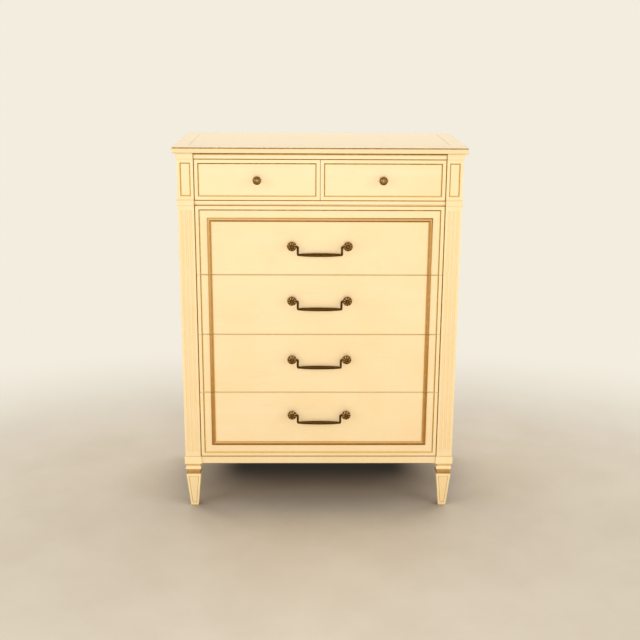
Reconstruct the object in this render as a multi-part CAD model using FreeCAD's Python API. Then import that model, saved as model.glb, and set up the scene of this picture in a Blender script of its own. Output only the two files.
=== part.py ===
import FreeCAD, Part
import math
import os

# A tall painted chest of drawers in a neoclassical manner: two small drawers over
# four long ones, between fluted pilasters, on four moulded and tapered feet.
# Millimetres, +Z up, floor at Z = 0, the front looks along -Y.

# Top
top_width = 965.0
top_depth = 508.0
top_thickness = 20.0
top_overhang = 13.0
top_lip_height = 2.2
top_quirk_height = 1.4
top_quirk_depth = 1.2
top_arris = 1.5
banding_side_inset = 50.0
banding_front_inset = 68.0
banding_line_width = 1.4
banding_line_depth = 0.8

# Heights of the front, from the foot blocks up
block_height = 26.5
bottom_drawer_height = 238.5
third_drawer_height = 209.0
second_drawer_height = 208.5
first_drawer_height = 234.5
mid_rail_height = 16.5
small_drawer_height = 136.5
frieze_height = 20.0

# Feet, from the floor up
leg_height = 126.8
cove_height = 14.1
torus_height = 14.4
neck_height = 4.9
neck_slope_height = 5.8
leg_tip_width = 26.5
leg_top_width = 51.5
cove_throat_width = 46.0
torus_root_width = 48.0
torus_width = 54.5
neck_width = 48.0
block_inner_step = 2.0
leg_panel_margin = 7.0
leg_panel_end_margin = 11.0
leg_panel_depth = 1.3

# Pilasters, their caps and their corner panels
pilaster_width = 54.5
pilaster_depth = 45.0
cap_projection = 3.0
cap_arris = 0.8
mid_cap_height = 18.5
flute_count = 3
flute_pitch = 14.2
flute_width = 9.6
flute_depth = 2.9
flute_end_margin = 14.5
corner_panel_side_margin = 9.9
corner_panel_end_margin = 12.0
corner_panel_depth = 2.5
corner_panel_slope = 3.2

# Case boards
side_thickness = 19.0
side_setback = 1.5
tongue_thickness = 6.0
tongue_length = 7.0
back_thickness = 6.0
back_rabbet = 8.0
front_setback = 2.0
mid_rail_cove = 5.0
apron_arris = 1.5
frame_thickness = 18.0
frame_rail_width = 74.0
frame_panel_thickness = 6.0
guide_height = 22.0
guide_clearance = 0.8
divider_thickness = 19.0

# Drawer fronts
front_gap = 1.5
joint_gap = 1.5
front_thickness = 20.0
border_width = 11.6
border_slope = 3.0
recess_depth = 2.5
stop_clearance = 0.3
side_band_width = 26.5
top_band_height = 27.3
bottom_band_height = 29.0
bead_width = 14.6
bead_height = 6.0
bead_fillet_width = 2.0
bead_fillet_height = 1.4

# Drawer boxes
box_side_thickness = 12.7
box_back_thickness = 12.7
box_bottom_thickness = 5.0
box_bottom_lift = 10.0
box_groove_depth = 6.0
box_groove_clearance = 0.3
box_back_drop = 9.0
runner_clearance = 0.3
kicker_clearance = 4.0
rear_clearance = 12.0
tail_count = 4
tail_length = 12.0
tail_root_share = 0.42
tail_flare_share = 0.16

# Round knobs of the small drawers
knob_sides = 16
knob_radius = 14.0
knob_length = 30.0
knob_flange_radius = 8.5
knob_flange_thickness = 2.2
knob_stem_radius = 4.6
knob_cup_radius = 10.5
knob_cup_height = 4.0
knob_crown_height = 9.0
knob_button_radius = 4.5
knob_button_height = 1.6

# Bail pulls of the long drawers
pull_half_spacing = 93.5
pull_height_bottom = 160.0
pull_height_third = 123.6
pull_height_second = 121.6
pull_height_first = 100.6
pull_reach = 25.0
rosette_radius = 15.75
rosette_thickness = 8.0
rosette_rim_thickness = 2.6
rosette_petals = 8
petal_valley_depth = 1.0
petal_shoulder_inset = 2.6
petal_shoulder_height = 3.9
rosette_eye_radius = 5.6
rosette_button_radius = 2.4
rosette_button_height = 2.2
rod_sides = 10
post_radius = 4.0
post_flange_radius = 6.5
post_flange_thickness = 2.0
knuckle_radius = 4.8
knuckle_length = 10.0
pivot_drop = 2.5
pivot_standoff = 12.0
pin_radius = 2.2
pin_clearance = 0.3
pin_collar_radius = 3.5
pin_collar_length = 3.5
arm_inset = 19.0
bail_rod_radius = 2.9
bail_stub_length = 4.0
bail_drop = 27.5
grip_radius = 6.2
grip_end_radius = 3.3
grip_end_inset = 5.0
grip_steps = 6

# Studs and nuts that hold the knobs and pulls
stud_sides = 6
stud_radius = 2.2
stud_end_length = 1.5
stud_clearance = 0.3
nut_width = 9.0
nut_thickness = 4.0

overrun = 2.0

V = FreeCAD.Vector


# Planes and widths worked out from the sizes above
block_width = pilaster_width + cap_projection + block_inner_step
block_bottom = leg_height + cove_height + torus_height + neck_height + neck_slope_height
base_z = block_bottom + block_height
third_z = base_z + bottom_drawer_height
second_z = third_z + third_drawer_height
first_z = second_z + second_drawer_height
mid_rail_z = first_z + first_drawer_height
small_z = mid_rail_z + mid_rail_height
frieze_z = small_z + small_drawer_height
slab_z = frieze_z + frieze_height
top_z = slab_z + top_thickness

case_half = top_width / 2 - top_overhang
opening_half = case_half - pilaster_width
side_outer = case_half - side_setback
side_inner = side_outer - side_thickness
front_half = opening_half - front_gap

case_depth = top_depth - top_overhang
field_setback = front_setback + recess_depth
front_reach = max(knob_length, pull_reach) - field_setback
pilaster_front = front_reach - (case_depth + front_reach) / 2
case_back = pilaster_front + case_depth
back_front = case_back - back_thickness
pilaster_back = pilaster_front + pilaster_depth
face_y = pilaster_front + front_setback
field_y = pilaster_front + field_setback
shoulder_y = face_y + front_thickness
frame_front = shoulder_y + stop_clearance
box_end = back_front - rear_clearance
lip_back = shoulder_y - tail_length


def box(x0, x1, y0, y1, z0, z1):
    return Part.makeBox(x1 - x0, y1 - y0, z1 - z0, V(x0, y0, z0))


def mirrored(shape):
    return shape.mirror(V(0, 0, 0), V(1, 0, 0))


def pair(shape):
    return Part.makeCompound([mirrored(shape), shape])


def polygon(points):
    return Part.makePolygon([V(*point) for point in points + [points[0]]])


def prism(points, direction):
    return Part.Face(polygon(points)).extrude(V(*direction))


def line(start, end):
    return Part.LineSegment(V(*start), V(*end)).toShape()


def arc(start, middle, end):
    return Part.Arc(V(*start), V(*middle), V(*end)).toShape()


def ring(centre, radii, axis):
    """Points round an axis through centre, one for each of the radii, evenly spaced."""
    x, y, z = centre
    points = []
    for index, radius in enumerate(radii):
        angle = 2 * math.pi * (index + 0.5) / len(radii)
        across, up = radius * math.cos(angle), radius * math.sin(angle)
        points.append((x, y + across, z + up) if axis == "x" else (x + across, y, z + up))
    return points


def rod(centre, radius, direction, axis, sides=rod_sides):
    """A straight many-sided rod from centre along direction."""
    return prism(ring(centre, [radius] * sides, axis), direction)


def skinned(rings):
    """A solid with a flat face on its first and last ring and facets between each two rings."""
    faces = [Part.Face(polygon(rings[0])), Part.Face(polygon(rings[-1]))]
    for low, high in zip(rings, rings[1:]):
        for index in range(len(low)):
            after = (index + 1) % len(low)
            faces.append(Part.Face(polygon([low[index], low[after], high[after]])))
            faces.append(Part.Face(polygon([low[index], high[after], high[index]])))
    shell = Part.makeShell(faces)
    shell.sewShape()
    solid = Part.makeSolid(shell)
    if solid.Volume < 0:
        solid.reverse()
    return solid.removeSplitter()


def bevelled_pocket(x0, x1, z0, z1, y, depth, slope, open_ends=()):
    """The cutter of a sunk panel: its four walls slope in by slope over depth.

    An end named in open_ends has no wall there and runs past its edge.
    """
    spread = slope * overrun / depth
    low = z0 - slope - overrun if "bottom" in open_ends else z0
    high = z1 + slope + overrun if "top" in open_ends else z1
    outer = polygon([
        (x0 - spread, y - overrun, low - spread),
        (x1 + spread, y - overrun, low - spread),
        (x1 + spread, y - overrun, high + spread),
        (x0 - spread, y - overrun, high + spread),
    ])
    inner = polygon([
        (x0 + slope, y + depth, low + slope),
        (x1 - slope, y + depth, low + slope),
        (x1 - slope, y + depth, high - slope),
        (x0 + slope, y + depth, high - slope),
    ])
    return Part.makeLoft([outer, inner], True, True)


def top_edge(at):
    """The moulded edge of the top, from its underside up: a face, a quirk and a rounded lip.

    at turns a distance in from the edge and a height into a point.
    """
    lip_z = top_z - top_lip_height
    quirk_z = lip_z - top_quirk_height
    bend = top_arris * (1 - math.sqrt(0.5))
    return [
        line(at(0, slab_z), at(0, quirk_z)),
        line(at(0, quirk_z), at(top_quirk_depth, quirk_z)),
        line(at(top_quirk_depth, quirk_z), at(top_quirk_depth, lip_z)),
        line(at(top_quirk_depth, lip_z), at(0, lip_z)),
        line(at(0, lip_z), at(0, top_z - top_arris)),
        arc(at(0, top_z - top_arris), at(bend, top_z - bend), at(top_arris, top_z)),
    ]


def profile_face(edges):
    return Part.Face(Part.Wire(Part.__sortEdges__(edges)))


def top_panel():
    """The slab: moulded on the front and both ends, square behind, with a scribed border line."""
    half = top_width / 2
    front = case_back - top_depth

    across = top_edge(lambda inset, z: (inset - half, front, z))
    across += top_edge(lambda inset, z: (half - inset, front, z))
    across += [
        line((top_arris - half, front, top_z), (half - top_arris, front, top_z)),
        line((-half, front, slab_z), (half, front, slab_z)),
    ]
    along = top_edge(lambda inset, z: (-half, front + inset, z))
    along += [
        line((-half, front + top_arris, top_z), (-half, case_back, top_z)),
        line((-half, case_back, top_z), (-half, case_back, slab_z)),
        line((-half, case_back, slab_z), (-half, front, slab_z)),
    ]
    ends_moulded = profile_face(across).extrude(V(0, top_depth, 0))
    front_moulded = profile_face(along).extrude(V(top_width, 0, 0))
    slab = ends_moulded.common(front_moulded)

    x = half - banding_side_inset
    y0 = front + banding_front_inset
    y1 = case_back - banding_front_inset
    z0 = top_z - banding_line_depth
    outer = box(-x, x, y0, y1, z0, top_z + overrun)
    line_width = banding_line_width
    inner = box(line_width - x, x - line_width, y0 + line_width, y1 - line_width, z0, top_z + overrun)
    return slab.cut(outer.cut(inner))


def flute(x):
    """The cutter of one flute: a shallow hollow with rounded ends."""
    radius = (flute_width ** 2 / 4 + flute_depth ** 2) / (2 * flute_depth)
    y = pilaster_front - radius + flute_depth
    z0 = base_z + flute_end_margin + flute_width / 2
    z1 = mid_rail_z - flute_end_margin - flute_width / 2
    bend = radius * math.sqrt(0.5)
    ends = []
    for z, up in ((z0, -1), (z1, 1)):
        ends.append(Part.makeCone(radius, bend, bend, V(x, y, z), V(0, 0, up)))
        ends.append(Part.makeCone(bend, 0, radius - bend, V(x, y, z + up * bend), V(0, 0, up)))
    return Part.makeCylinder(radius, z1 - z0, V(x, y, z0), V(0, 0, 1)).fuse(ends)


def right_pilaster():
    """A corner post: three flutes below the middle cap, a sunk panel above it."""
    post = box(opening_half, case_half, pilaster_front, pilaster_back, base_z, slab_z)
    middle = (opening_half + case_half) / 2
    for index in range(flute_count):
        offset = index - (flute_count - 1) / 2
        post = post.cut(flute(middle + offset * flute_pitch))
    post = post.cut(bevelled_pocket(
        opening_half + corner_panel_side_margin, case_half - corner_panel_side_margin,
        mid_rail_z + mid_cap_height + corner_panel_end_margin, frieze_z - corner_panel_end_margin,
        pilaster_front, corner_panel_depth, corner_panel_slope))
    return post.cut(side_tongue())


def side_tongue():
    """The tongue along the front edge of the right side board."""
    middle = (side_outer + side_inner) / 2
    return box(middle - tongue_thickness / 2, middle + tongue_thickness / 2,
               pilaster_back - tongue_length, pilaster_back, base_z, slab_z)


def right_side():
    board = box(side_inner, side_outer, pilaster_back, case_back, base_z, slab_z)
    rabbet = box(side_inner - overrun, side_inner + back_rabbet, back_front, case_back + overrun,
                 base_z - overrun, slab_z + overrun)
    return board.cut(rabbet).fuse(side_tongue()).removeSplitter()


def back_panel():
    half = side_inner + back_rabbet
    return box(-half, half, back_front, case_back, base_z, slab_z)


def right_cap(z0, z1):
    """A cap moulding that wraps the front and the outer face of the right pilaster."""
    outer = case_half + cap_projection
    front = pilaster_front - cap_projection
    cap = box(opening_half, outer, front, pilaster_back, z0, z1)
    core = box(opening_half - overrun, case_half, pilaster_front, pilaster_back + overrun,
               z0 - overrun, z1 + overrun)
    arrises = [edge for edge in cap.Edges
               if edge.BoundBox.XMin > case_half or edge.BoundBox.YMax < pilaster_front]
    return cap.makeChamfer(cap_arris, arrises).cut(core)


def frieze_rail():
    return box(-opening_half, opening_half, face_y, frame_front, frieze_z, slab_z)


def mid_rail():
    """The rail below the small drawers, with a cove run along its lower front edge."""
    rail = box(-opening_half, opening_half, face_y, frame_front, mid_rail_z, small_z)
    cove = Part.makeCylinder(mid_rail_cove, 2 * opening_half + 2 * overrun,
                             V(-opening_half - overrun, face_y, mid_rail_z), V(1, 0, 0))
    return rail.cut(cove)


def apron_rails():
    """The rails between the foot blocks, at the front and at both ends."""
    inner = case_half + cap_projection - block_width
    front = box(-inner, inner, face_y, frame_front, block_bottom, base_z)
    lower_front = [edge for edge in front.Edges
                   if edge.BoundBox.ZMax < base_z and edge.BoundBox.YMax < frame_front
                   and edge.BoundBox.XLength > inner]
    front = front.makeChamfer(apron_arris, lower_front)
    y0 = pilaster_front - cap_projection + block_width
    y1 = case_back - block_width
    end = box(side_inner, side_outer, y0, y1, block_bottom, base_z)
    return Part.makeCompound([front, mirrored(end), end])


def foot_profile(at):
    """One side of the foot, from the leg's top up: a cove, a torus, a neck, a slope and the block.

    at turns a half width and a height into a point.
    """
    cove_z = leg_height + cove_height
    torus_z = cove_z + torus_height
    slope_z = torus_z + neck_height
    return [
        arc(at(leg_top_width / 2, leg_height), at(cove_throat_width / 2, (leg_height + cove_z) / 2),
            at(torus_root_width / 2, cove_z)),
        arc(at(torus_root_width / 2, cove_z), at(torus_width / 2, (cove_z + torus_z) / 2),
            at(neck_width / 2, torus_z)),
        line(at(neck_width / 2, torus_z), at(neck_width / 2, slope_z)),
        line(at(neck_width / 2, slope_z), at(block_width / 2, block_bottom)),
        line(at(block_width / 2, block_bottom), at(block_width / 2, base_z)),
    ]


def foot_run(at, run):
    """The foot's moulded outline, run straight through along one level direction."""
    edges = foot_profile(at) + foot_profile(lambda half, z: at(-half, z))
    edges.append(line(at(-leg_top_width / 2, leg_height), at(leg_top_width / 2, leg_height)))
    edges.append(line(at(-block_width / 2, base_z), at(block_width / 2, base_z)))
    return profile_face(edges).extrude(V(*run))


def square(x, y, width, z):
    half = width / 2
    return polygon([(x - half, y - half, z), (x + half, y - half, z),
                    (x + half, y + half, z), (x - half, y + half, z)])


def leg_panel(x, y, outward):
    """The cutter of the sunk panel in one face of the tapered leg.

    outward is the level direction that the face looks along, (0, -1) for the front.
    """
    ox, oy = outward
    lean = (leg_top_width - leg_tip_width) / 2 / leg_height
    points = []
    for z, sign in ((leg_panel_end_margin, -1), (leg_panel_end_margin, 1),
                    (leg_height - leg_panel_end_margin, 1), (leg_height - leg_panel_end_margin, -1)):
        half = leg_tip_width / 2 + lean * z
        across = sign * (half - leg_panel_margin)
        points.append((x + ox * half - oy * across, y + oy * half + ox * across, z))
    inward = V(-ox, -oy, lean)
    inward.normalize()
    outer = [V(*point) - inward * overrun for point in points]
    face = Part.Face(Part.makePolygon(outer + [outer[0]]))
    return face.extrude(inward * (leg_panel_depth + overrun))


def foot(x, y, panels):
    """A foot with its block: moulded on four sides, over a leg that tapers to the floor."""
    start = block_width / 2
    run_x = foot_run(lambda half, z: (x - start, y + half, z), (block_width, 0, 0))
    run_y = foot_run(lambda half, z: (x + half, y - start, z), (0, block_width, 0))
    moulded = run_x.common(run_y)
    leg = Part.makeLoft([square(x, y, leg_tip_width, 0), square(x, y, leg_top_width, leg_height)],
                        True, True)
    for outward in panels:
        leg = leg.cut(leg_panel(x, y, outward))
    return moulded.fuse(leg)


def feet_pair(y):
    x = case_half + cap_projection - block_width / 2
    return pair(foot(x, y, ((0, -1), (1, 0))))


def web_frame(z0, z1):
    """A drawer frame: wide rails round two thin dust panels, notched past the pilasters."""
    frame = box(-opening_half, opening_half, frame_front, back_front, z0, z1)
    frame = frame.fuse(box(-side_inner, side_inner, pilaster_back, back_front, z0, z1)).removeSplitter()
    x0 = frame_rail_width / 2
    x1 = side_inner - frame_rail_width
    y0 = frame_front + frame_rail_width
    y1 = back_front - frame_rail_width
    sink = (z1 - z0 - frame_panel_thickness) / 2
    for low, high in ((z0 - overrun, z0 + sink), (z1 - sink, z1 + overrun)):
        well = box(x0, x1, y0, y1, low, high)
        frame = frame.cut([well, mirrored(well)])
    return frame


def joint_frame(joint_z):
    return web_frame(joint_z - frame_thickness / 2, joint_z + frame_thickness / 2)


def drawer_guides():
    """Strips on the drawer frames that keep each drawer straight."""
    strips = []
    for z in runner_levels():
        strip = box(front_half + guide_clearance, side_inner, pilaster_back, back_front,
                    z, z + guide_height)
        strips += [mirrored(strip), strip]
    return Part.makeCompound(strips)


def runner_levels():
    """Heights of the frame tops that the drawers run on, from the bottom drawer up."""
    half = frame_thickness / 2
    return [base_z + frame_thickness, third_z + half, second_z + half, first_z + half, small_z]


def centre_divider():
    """The upright board between the small drawers, from behind their lips to the back."""
    half = divider_thickness / 2
    return box(-half, half, lip_back + stop_clearance, back_front, small_z, frieze_z)


def tails(x0, x1, z0, z1):
    """The dovetails at the front of a drawer side, wider at their tips than at the shoulder."""
    pitch = (z1 - z0) / tail_count
    root = pitch * tail_root_share / 2
    tip = root + tail_length * tail_flare_share
    shapes = []
    for index in range(tail_count):
        z = z0 + (index + 0.5) * pitch
        shapes.append(prism([
            (x0, shoulder_y, z - root), (x0, shoulder_y, z + root),
            (x0, lip_back, z + tip), (x0, lip_back, z - tip),
        ], (x1 - x0, 0, 0)))
    return shapes


def drawer_front(front, joinery, holes):
    """A front board: raised border, sunk field, sockets for the sides, a groove and stud holes.

    front is (x0, x1, z0, z1, open_ends); joinery is (box_x0, box_x1, box_z0, box_z1).
    """
    x0, x1, z0, z1, open_ends = front
    box_x0, box_x1, box_z0, box_z1 = joinery
    board = box(x0, x1, face_y, shoulder_y, z0, z1)
    low = z0 if "bottom" in open_ends else z0 + border_width
    high = z1 if "top" in open_ends else z1 - border_width
    board = board.cut(bevelled_pocket(x0 + border_width, x1 - border_width, low, high, face_y,
                                      recess_depth, border_slope, open_ends))
    cuts = tails(box_x0, box_x0 + box_side_thickness, box_z0, box_z1)
    cuts += tails(box_x1 - box_side_thickness, box_x1, box_z0, box_z1)
    groove_z = box_z0 + box_bottom_lift
    cuts.append(box(box_x0 + box_side_thickness, box_x1 - box_side_thickness,
                    shoulder_y - box_groove_depth, shoulder_y + overrun,
                    groove_z, groove_z + box_bottom_thickness + box_groove_clearance))
    cuts += [stud_rod(x, z, stud_clearance, overrun, overrun) for x, z in holes]
    for edge_x, box_x in ((x0, box_x0), (x1, box_x1)):
        if abs(box_x - edge_x) > front_gap:
            inner, outer = sorted((box_x, edge_x + math.copysign(overrun, edge_x - box_x)))
            cuts.append(box(inner, outer, lip_back, shoulder_y + overrun, z0 - overrun, z1 + overrun))
    return board.cut(cuts)


def drawer_side(x0, x1, z0, z1, groove_x):
    """One side of a drawer box, with tails in front and a groove for the bottom from groove_x in."""
    side = box(x0, x1, shoulder_y, box_end, z0, z1).fuse(tails(x0, x1, z0, z1)).removeSplitter()
    groove_z = z0 + box_bottom_lift
    return side.cut(box(groove_x, groove_x + box_groove_depth, shoulder_y, box_end + overrun,
                        groove_z, groove_z + box_bottom_thickness + box_groove_clearance))


def drawer_sides(box_x0, box_x1, z0, z1):
    inner_x0 = box_x0 + box_side_thickness
    inner_x1 = box_x1 - box_side_thickness
    return Part.makeCompound([
        drawer_side(box_x0, inner_x0, z0, z1, inner_x0 - box_groove_depth),
        drawer_side(inner_x1, box_x1, z0, z1, inner_x1),
    ])


def drawer_bottom(box_x0, box_x1, z0):
    """The bottom panel, held in the grooves of the sides and of the front."""
    low = z0 + box_bottom_lift
    high = low + box_bottom_thickness
    tongue = box_groove_depth - box_groove_clearance
    inner_x0 = box_x0 + box_side_thickness
    inner_x1 = box_x1 - box_side_thickness
    panel = box(inner_x0 - tongue, inner_x1 + tongue, shoulder_y, box_end, low, high)
    lip = box(inner_x0, inner_x1, shoulder_y - tongue, shoulder_y, low, high)
    return panel.fuse(lip).removeSplitter()


def drawer_back(box_x0, box_x1, z0, z1):
    """The back board, between the sides and on top of the bottom."""
    low = z0 + box_bottom_lift + box_bottom_thickness
    return box(box_x0 + box_side_thickness, box_x1 - box_side_thickness,
               box_end - box_back_thickness, box_end, low, z1 - box_back_drop)


def bead_strip(length):
    """A straight length of the bead moulding: along +X from 0, width up +Z from 0, proud to -Y."""
    w, h = bead_width, bead_height
    fw, fh = bead_fillet_width, bead_fillet_height
    outline = [
        line((0, 0, 0), (0, -fh, 0)),
        line((0, -fh, 0), (0, -fh, fw)),
        arc((0, -fh, fw), (0, -h, w / 2), (0, -fh, w - fw)),
        line((0, -fh, w - fw), (0, -fh, w)),
        line((0, -fh, w), (0, 0, w)),
        line((0, 0, w), (0, 0, 0)),
    ]
    return Part.Face(Part.Wire(outline)).extrude(V(length, 0, 0))


def mitre_wedge(corner, across, up):
    """The wedge that a 45 degree mitre takes off a strip.

    The cut runs from the outer corner towards the inside; across and up are the two
    level directions, as signs of X and Z, that bound the wedge.
    """
    x, z = corner
    reach = 2 * bead_width
    y0 = field_y + overrun
    return prism([(x - across * overrun, y0, z - up * overrun),
                  (x + across * reach, y0, z + up * reach),
                  (x - across * overrun, y0, z + up * reach)],
                 (0, -bead_height - 2 * overrun, 0))


def bead(z0, z1, open_ends):
    """The bead moulding on a long drawer: an upright each side, and a mitred run at a closed end."""
    outer = front_half - border_width - side_band_width
    low = z0 if "bottom" in open_ends else z0 + border_width + bottom_band_height
    high = z1 if "top" in open_ends else z1 - border_width - top_band_height
    upright = bead_strip(high - low)
    upright.rotate(V(0, 0, 0), V(0, 1, 0), -90)
    upright.translate(V(outer, field_y, low))
    runs = []
    for end, z in (("bottom", low), ("top", high)):
        if end in open_ends:
            continue
        up = 1 if end == "bottom" else -1
        run = bead_strip(2 * outer)
        run.translate(V(-outer, field_y, z if up > 0 else z - bead_width))
        corner_left = mitre_wedge((-outer, z), 1, up)
        runs.append(run.cut([corner_left, mirrored(corner_left)]))
        upright = upright.cut(mitre_below(outer, z, up))
    return Part.makeCompound([mirrored(upright), upright] + runs)


def mitre_below(x, z, up):
    """The wedge that the same mitre takes off the right upright."""
    reach = 2 * bead_width
    y0 = field_y + overrun
    return prism([(x + overrun, y0, z - up * overrun),
                  (x - reach, y0, z + up * reach),
                  (x - reach, y0, z - up * overrun)],
                 (0, -bead_height - 2 * overrun, 0))


def stud_rod(x, z, clearance, before, beyond):
    """The run of a stud through a drawer front, widened by clearance for its hole.

    before and beyond are the lengths in front of the field and behind the board.
    """
    length = before + front_thickness - recess_depth + beyond
    return rod((x, field_y - before, z), stud_radius + clearance, (0, length, 0), "y", stud_sides)


def stud(x, z, before):
    """A stud that starts inside its knob or post and ends past its nut."""
    return stud_rod(x, z, 0, before, nut_thickness + stud_end_length)


def nut(x, z):
    """A six-sided nut on the stud, against the back of the drawer front."""
    radius = nut_width / 2 / math.cos(math.pi / stud_sides)
    blank = rod((x, shoulder_y, z), radius, (0, nut_thickness, 0), "y", stud_sides)
    return blank.cut(stud_rod(x, z, stud_clearance, 0, nut_thickness + overrun))


def knob(x, z):
    """A turned knob: a flange on the field, a waisted stem and a domed head, with stud and nut."""
    rim = knob_length - knob_crown_height
    crown = knob_crown_height - knob_button_height
    neck = knob_flange_thickness + knob_flange_radius - knob_stem_radius
    outline = [
        (knob_flange_radius, 0), (knob_flange_radius, knob_flange_thickness),
        (knob_stem_radius, neck), (knob_stem_radius, rim - knob_cup_height),
        (knob_cup_radius, rim - knob_cup_height), (knob_radius, rim),
        (dome_radius(1 / 3), rim + crown * 0.55), (dome_radius(2 / 3), rim + crown * 0.87),
        (knob_button_radius, rim + crown), (knob_button_radius / 2, knob_length),
    ]
    head = skinned([ring((x, field_y - out, z), [radius] * knob_sides, "y") for radius, out in outline])
    return Part.makeCompound([head.fuse(stud(x, z, knob_flange_thickness)), nut(x, z)])


def dome_radius(share):
    """The knob's radius a share of the way from its rim in to its button."""
    return knob_radius + (knob_button_radius - knob_radius) * share


def rosette(x, z):
    """The cast rosette at the front of a pull's post: petals round a raised button."""
    back = pull_reach - rosette_thickness
    button = pull_reach - rosette_button_height
    outline = [
        (rosette_radius - petal_valley_depth, back, 0),
        (rosette_radius, back + rosette_rim_thickness, petal_valley_depth),
        (rosette_radius - petal_shoulder_inset, back + petal_shoulder_height, petal_valley_depth),
        (rosette_eye_radius, button, petal_valley_depth / 2),
        (rosette_button_radius, pull_reach, 0),
    ]
    rings = []
    for radius, out, valley in outline:
        radii = [radius, radius - valley] * rosette_petals
        rings.append(ring((x, field_y - out, z), radii, "y"))
    return skinned(rings)


def pull_post(x, z):
    """A cast post: flange, shank, rosette and a knuckle bored across for the bail's pin."""
    back = pull_reach - rosette_thickness
    flange = rod((x, field_y, z), post_flange_radius, (0, -post_flange_thickness, 0), "y")
    shank = rod((x, field_y, z), post_radius, (0, -back - rosette_rim_thickness / 2, 0), "y")
    pivot = (x - knuckle_length / 2, field_y - pivot_standoff, z - pivot_drop)
    knuckle = rod(pivot, knuckle_radius, (knuckle_length, 0, 0), "x")
    bore_radius = (pin_radius + pin_clearance) / math.cos(math.pi / rod_sides)
    bore_start = (pivot[0] - overrun, pivot[1], pivot[2])
    bore = rod(bore_start, bore_radius, (knuckle_length + 2 * overrun, 0, 0), "x")
    casting = flange.fuse([shank, knuckle, rosette(x, z), stud(x, z, post_flange_thickness)])
    return casting.cut(bore).removeSplitter()


def pull_posts(z):
    """Both posts of one pull with their nuts."""
    pieces = []
    for x in (-pull_half_spacing, pull_half_spacing):
        pieces += [pull_post(x, z), nut(x, z)]
    return Part.makeCompound(pieces)


def bail(z):
    """The swinging handle: a square-cornered rod with pins in the knuckles and a swelling grip."""
    pivot_y = field_y - pivot_standoff
    pivot_z = z - pivot_drop
    bar_z = pivot_z - bail_drop
    arm = pull_half_spacing - arm_inset
    stub = arm + bail_stub_length
    path = Part.makePolygon([V(x, pivot_y, height) for x, height in (
        (-stub, pivot_z), (-arm, pivot_z), (-arm, bar_z), (arm, bar_z), (arm, pivot_z), (stub, pivot_z))])
    section = polygon(ring((-stub, pivot_y, pivot_z), [bail_rod_radius] * rod_sides, "x"))
    handle = path.makePipeShell([section], True, False, 1)

    reach = arm - grip_end_inset
    rings = []
    for index in range(grip_steps + 1):
        share = 2 * index / grip_steps - 1
        radius = grip_radius - (grip_radius - grip_end_radius) * share ** 2
        rings.append(ring((reach * share, pivot_y, bar_z), [radius] * rod_sides, "x"))
    pieces = [skinned(rings)]

    collar_end = pull_half_spacing - knuckle_length / 2 - pin_clearance
    pin_end = pull_half_spacing + knuckle_length / 2
    for side in (-1, 1):
        pin_length = side * (pin_end - stub)
        pieces.append(rod((side * stub, pivot_y, pivot_z), pin_radius, (pin_length, 0, 0), "x"))
        pieces.append(rod((side * collar_end, pivot_y, pivot_z), pin_collar_radius,
                          (-side * pin_collar_length, 0, 0), "x"))
    return handle.fuse(pieces).removeSplitter()


def long_drawer(name, z0, z1, pull_height, open_ends):
    """All nodes of one long drawer. z0 and z1 are the joints or rails below and above it."""
    low = z0 + (joint_gap / 2 if "bottom" in open_ends else front_gap)
    high = z1 - (joint_gap / 2 if "top" in open_ends else front_gap)
    half_frame = frame_thickness / 2
    box_z0 = z0 + (half_frame if "bottom" in open_ends else frame_thickness) + runner_clearance
    box_z1 = z1 - (half_frame if "top" in open_ends else 0) - kicker_clearance
    pull_z = z0 + pull_height
    holes = [(x, pull_z) for x in (-pull_half_spacing, pull_half_spacing)]
    return {
        name + "_front": drawer_front((-front_half, front_half, low, high, open_ends),
                                      (-front_half, front_half, box_z0, box_z1), holes),
        name + "_sides": drawer_sides(-front_half, front_half, box_z0, box_z1),
        name + "_bottom": drawer_bottom(-front_half, front_half, box_z0),
        name + "_back": drawer_back(-front_half, front_half, box_z0, box_z1),
        name + "_bead": bead(low, high, open_ends),
        name + "_pull_posts": pull_posts(pull_z),
        name + "_bail": bail(pull_z),
    }


def small_drawer(name, side):
    """All nodes of one small drawer; side is -1 for the left one and 1 for the right one."""
    inner_x = joint_gap / 2
    box_inner_x = divider_thickness / 2 + guide_clearance
    x0, x1 = sorted((side * inner_x, side * front_half))
    box_x0, box_x1 = sorted((side * box_inner_x, side * front_half))
    low = small_z + front_gap
    high = frieze_z - front_gap
    box_z0 = small_z + runner_clearance
    box_z1 = frieze_z - kicker_clearance
    knob_x = (x0 + x1) / 2
    knob_z = (low + high) / 2
    return {
        name + "_front": drawer_front((x0, x1, low, high, ()), (box_x0, box_x1, box_z0, box_z1),
                                      [(knob_x, knob_z)]),
        name + "_sides": drawer_sides(box_x0, box_x1, box_z0, box_z1),
        name + "_bottom": drawer_bottom(box_x0, box_x1, box_z0),
        name + "_back": drawer_back(box_x0, box_x1, box_z0, box_z1),
        name + "_knob": knob(knob_x, knob_z),
    }


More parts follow.
